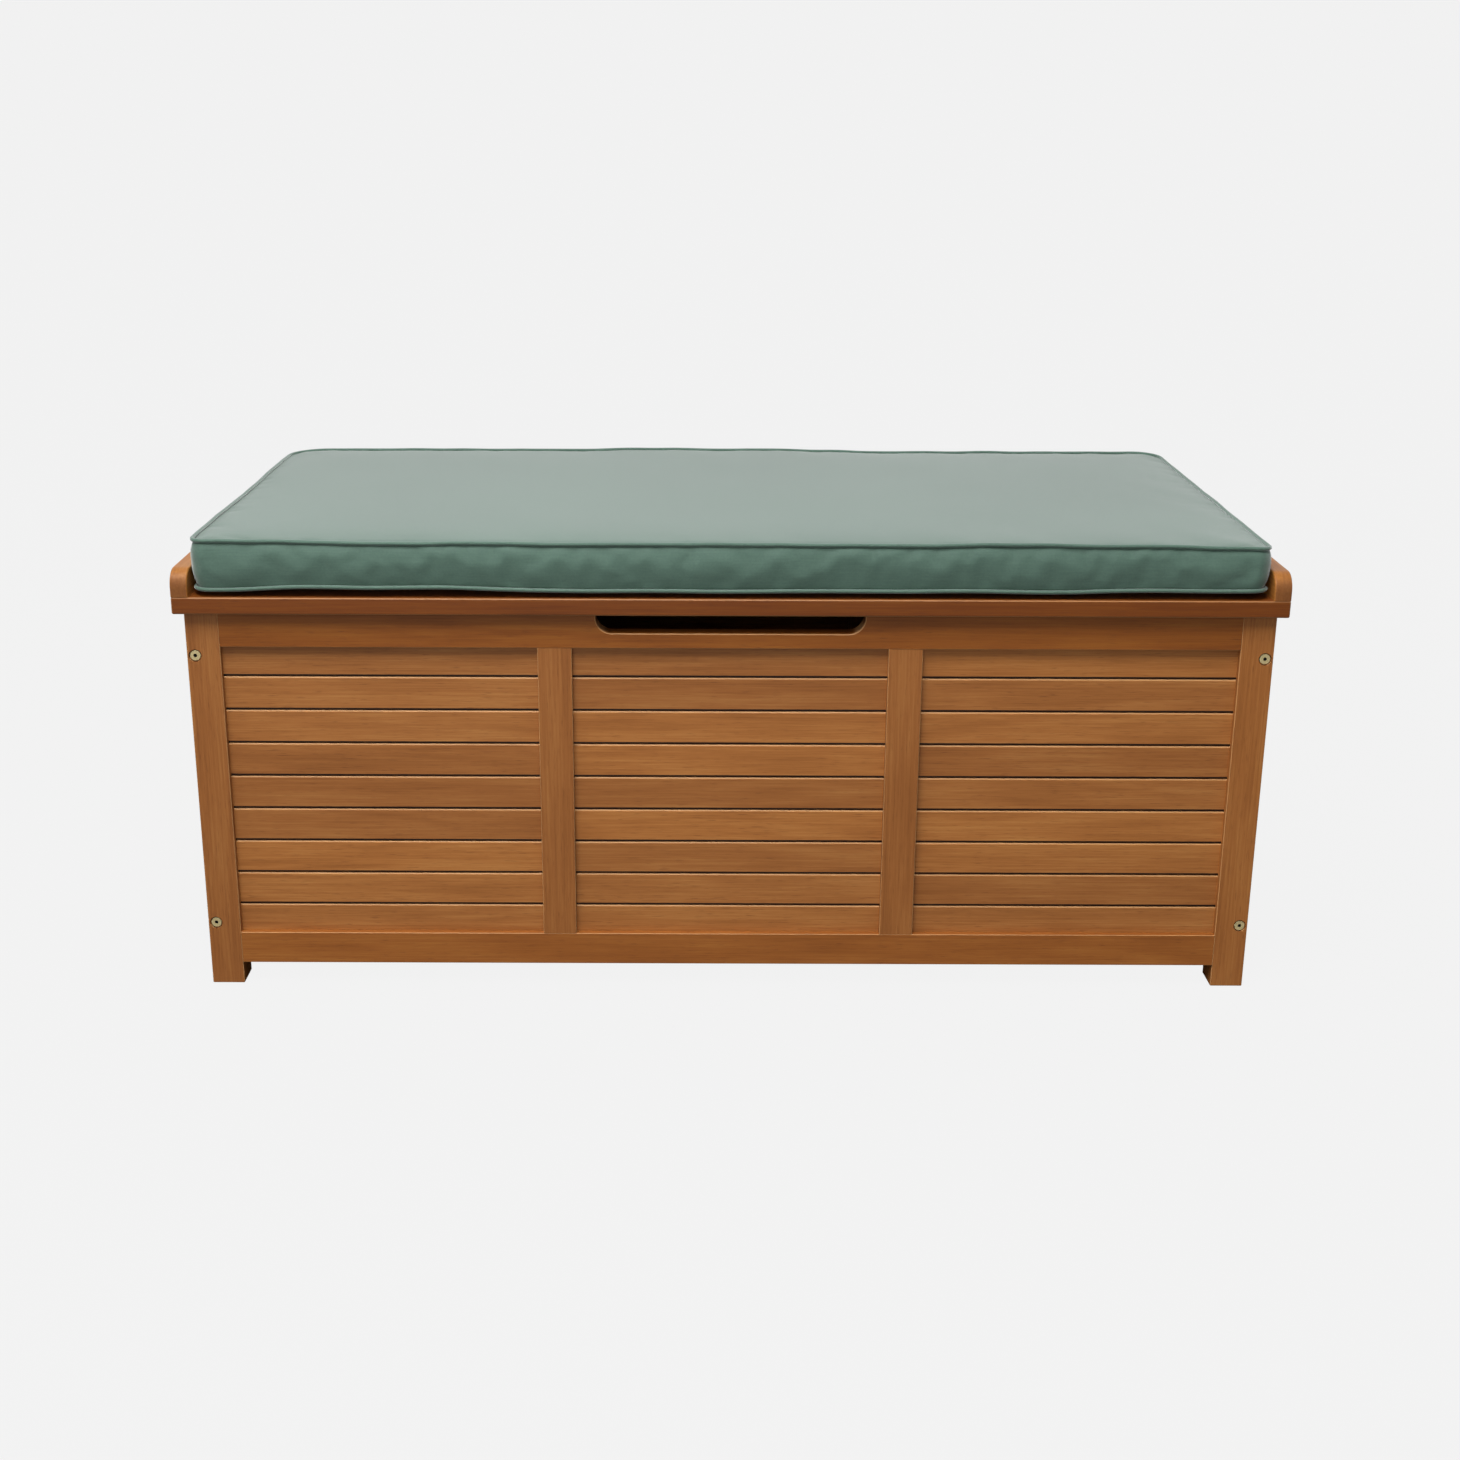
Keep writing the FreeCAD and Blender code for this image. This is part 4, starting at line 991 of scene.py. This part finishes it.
# %% Canvas material
THREAD = 1.5 * MM
LONG_SLUB = (55 * MM, 1.6 * MM, 2.0)
SLUB = 2.4 * MM
FADED_PATCH = 310 * MM
SHADE_SHARES = (0.3, 0.3, 0.35, 0.035)  # Of the slubs, the long slubs, fading and weave.
CANVAS_STOPS = ((0.3, "435E51"), (0.48, "4C685A"), (0.68, "557263"))
WEAVE_RELIEF = 0.25 * MM


def thread_waves(tree, distance):
    """A wave that rises and falls once for each thread."""
    turns = add(tree, MATH, {0: distance, 1: math.tau / THREAD}, 0, operation="MULTIPLY")
    return add(tree, MATH, {0: turns}, 0, operation="SINE")


def canvas(name, bias):
    """Woven canvas on object coordinates, with its threads straight or on the bias."""
    material, tree, shader = new_material(name)
    inputs = {"Vector": add(tree, PLACE, out="Object"), "Rotation": (0, 0, bias)}
    laid = add(tree, "ShaderNodeMapping", inputs, 0)
    sides = add(tree, APART, {0: laid}).outputs
    across = add(tree, MATH, {0: sides["Y"], 1: sides["Z"]}, 0, operation="ADD")
    crossing = {0: thread_waves(tree, sides["X"]), 1: thread_waves(tree, across)}
    weave = add(tree, MATH, crossing, 0, operation="MULTIPLY")
    slubs = add(tree, NOISE, {"Vector": laid, "Scale": 1 / SLUB, "Detail": 3.0}, "Fac")
    long_slubs = long_marks(tree, laid, *LONG_SLUB)
    fade = add(tree, NOISE, {"Vector": laid, "Scale": 1 / FADED_PATCH, "Detail": 3.0}, "Fac")
    shade = 0.0
    for layer, share in zip((slubs, long_slubs, fade, weave), SHADE_SHARES):
        shade = add(tree, MATH, {0: layer, 1: share, 2: shade}, 0, operation="MULTIPLY_ADD")
    inputs = {0: weave, 1: 0.5, 2: slubs}
    height = add(tree, MATH, inputs, 0, operation="MULTIPLY_ADD")
    relief = {"Height": height, "Strength": 0.4, "Distance": WEAVE_RELIEF}
    colour = add(tree, RAMP, {0: shade}, 0, CANVAS_STOPS)
    link(tree, shader, {"Base Color": colour, "Normal": add(tree, "ShaderNodeBump", relief, 0)})
    link(tree, shader, {"Roughness": 0.65, "Specular IOR Level": 0.5})
    link(tree, shader, {"Sheen Weight": 0.76, "Sheen Roughness": 0.4})
    return material


cover_canvas = canvas("polyester canvas", 0.0)
piping_canvas = canvas("polyester canvas on the bias", math.radians(45))
cushion.data.materials.clear()
cushion.data.materials.append(cover_canvas)
print("cloth:", cover_canvas.name, "and", piping_canvas.name)

# %% [markdown]
# ## The piping
# Piping is a cord wrapped in a bias-cut strip of the same cloth and caught in the seam. It
# follows the seam's line and stands proud of it, and a tight crease runs along each side. A
# curve with a bevel would give the same tube. Geometry Nodes are used because the tree spaces
# the points evenly and serves both seams, with its sizes as named inputs: the seam's points
# become a closed curve, and a round profile is swept along it.

# %% Geometry Nodes tree for piping
PIPING_SIDES = 10
INPUT_KINDS = {"Geometry": "Geometry", "Radius": "Float", "Step": "Float", "Material": "Material"}


def piping_tree():
    """A tree that sweeps a round profile along a curve."""
    tree = bpy.data.node_groups.new("piping", "GeometryNodeTree")
    face = tree.interface
    for name, kind in INPUT_KINDS.items():
        face.new_socket(name, in_out="INPUT", socket_type="NodeSocket" + kind)
    face.new_socket("Geometry", in_out="OUTPUT", socket_type="NodeSocketGeometry")
    given = add(tree, "NodeGroupInput").outputs
    inputs = {"Curve": given["Geometry"], "Length": given["Step"]}
    evened = add(tree, "GeometryNodeResampleCurve", inputs, 0, mode="LENGTH")
    inputs = {"Resolution": PIPING_SIDES, "Radius": given["Radius"]}
    profile = add(tree, "GeometryNodeCurvePrimitiveCircle", inputs, 0)
    inputs = {"Curve": evened, "Profile Curve": profile}
    tube = add(tree, "GeometryNodeCurveToMesh", inputs, 0)
    smooth = add(tree, "GeometryNodeSetShadeSmooth", {"Geometry": tube}, 0)
    whole = add(tree, "GeometryNodeRealizeInstances", {"Geometry": smooth}, 0)
    inputs = {"Geometry": whole, "Material": given["Material"]}
    painted = add(tree, "GeometryNodeSetMaterial", inputs, 0)
    add(tree, "NodeGroupOutput", {0: painted})
    return tree


def grown(name, source, tree, values):
    """Runs a tree on an object with named inputs, and keeps the result as a plain mesh."""
    bpy.context.scene.collection.objects.link(source)
    modifier = source.modifiers.new(name, "NODES")
    modifier.node_group = tree
    inputs = [item for item in tree.interface.items_tree if item.in_out == "INPUT"]
    identifier = {item.name: item.identifier for item in inputs}
    for key, value in values.items():
        modifier[identifier[key]] = value
    depsgraph = bpy.context.evaluated_depsgraph_get()
    mesh = bpy.data.meshes.new_from_object(source.evaluated_get(depsgraph))
    bpy.data.objects.remove(source)
    piece = bpy.data.objects.new(name, mesh)
    bpy.context.scene.collection.objects.link(piece)
    return piece


# %% [markdown]
# Each seam's line is moved to the cord's middle first: out from the cushion, and up at the top
# seam or down at the bottom one.

# %% Sweep both pipings
PIPING_RADIUS = 2.2 * MM
PIPING_STEP = 4.5 * MM
PIPING_OUT = {1: 1.2 * MM, -1: 2.0 * MM}
PIPING_LIFT = 1.0 * MM


def closed_curve(name, points):
    """A closed curve through a list of points."""
    data = bpy.data.curves.new(name, "CURVE")
    data.dimensions = "3D"
    spline = data.splines.new("POLY")
    spline.points.add(len(points) - 1)
    for target, point in zip(spline.points, points):
        target.co = (*point, 1.0)
    spline.use_cyclic_u = True
    return bpy.data.objects.new(name, data)


def stood_out(points, up):
    """A seam's points moved out and up or down, to the piping's middle."""
    rise = Vector((0, 0, up * PIPING_LIFT))
    return [point + outward(point) * PIPING_OUT[up] + rise for point in points]


tree = piping_tree()
sizes = {"Radius": PIPING_RADIUS, "Step": PIPING_STEP, "Material": piping_canvas}
top_curve = closed_curve("top_seam", stood_out(top_path, 1))
bottom_curve = closed_curve("bottom_seam", stood_out(bottom_path, -1))
top_piping = grown("top_piping", top_curve, tree, sizes)
bottom_piping = grown("bottom_piping", bottom_curve, tree, sizes)
print("piping:", [len(piece.data.polygons) for piece in (top_piping, bottom_piping)], "faces")

# %% [markdown]
# ## Join the soft pieces to the model
# The cushion and both pipings ride on the cushion's body, so they lift off the lid with it.
# They stand for the plain solids that the engineered model uses for weight and contact.

# %% Ride and replace
for piece, slot_name, stands_for in (
    (cushion, "cushion_fabric", ("cushion_cover", "cushion_foam")),
    (top_piping, "cushion_piping", ("cushion_top_piping",)),
    (bottom_piping, "cushion_piping", ("cushion_bottom_piping",)),
):
    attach(piece, "cushion")
    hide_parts(*stands_for)
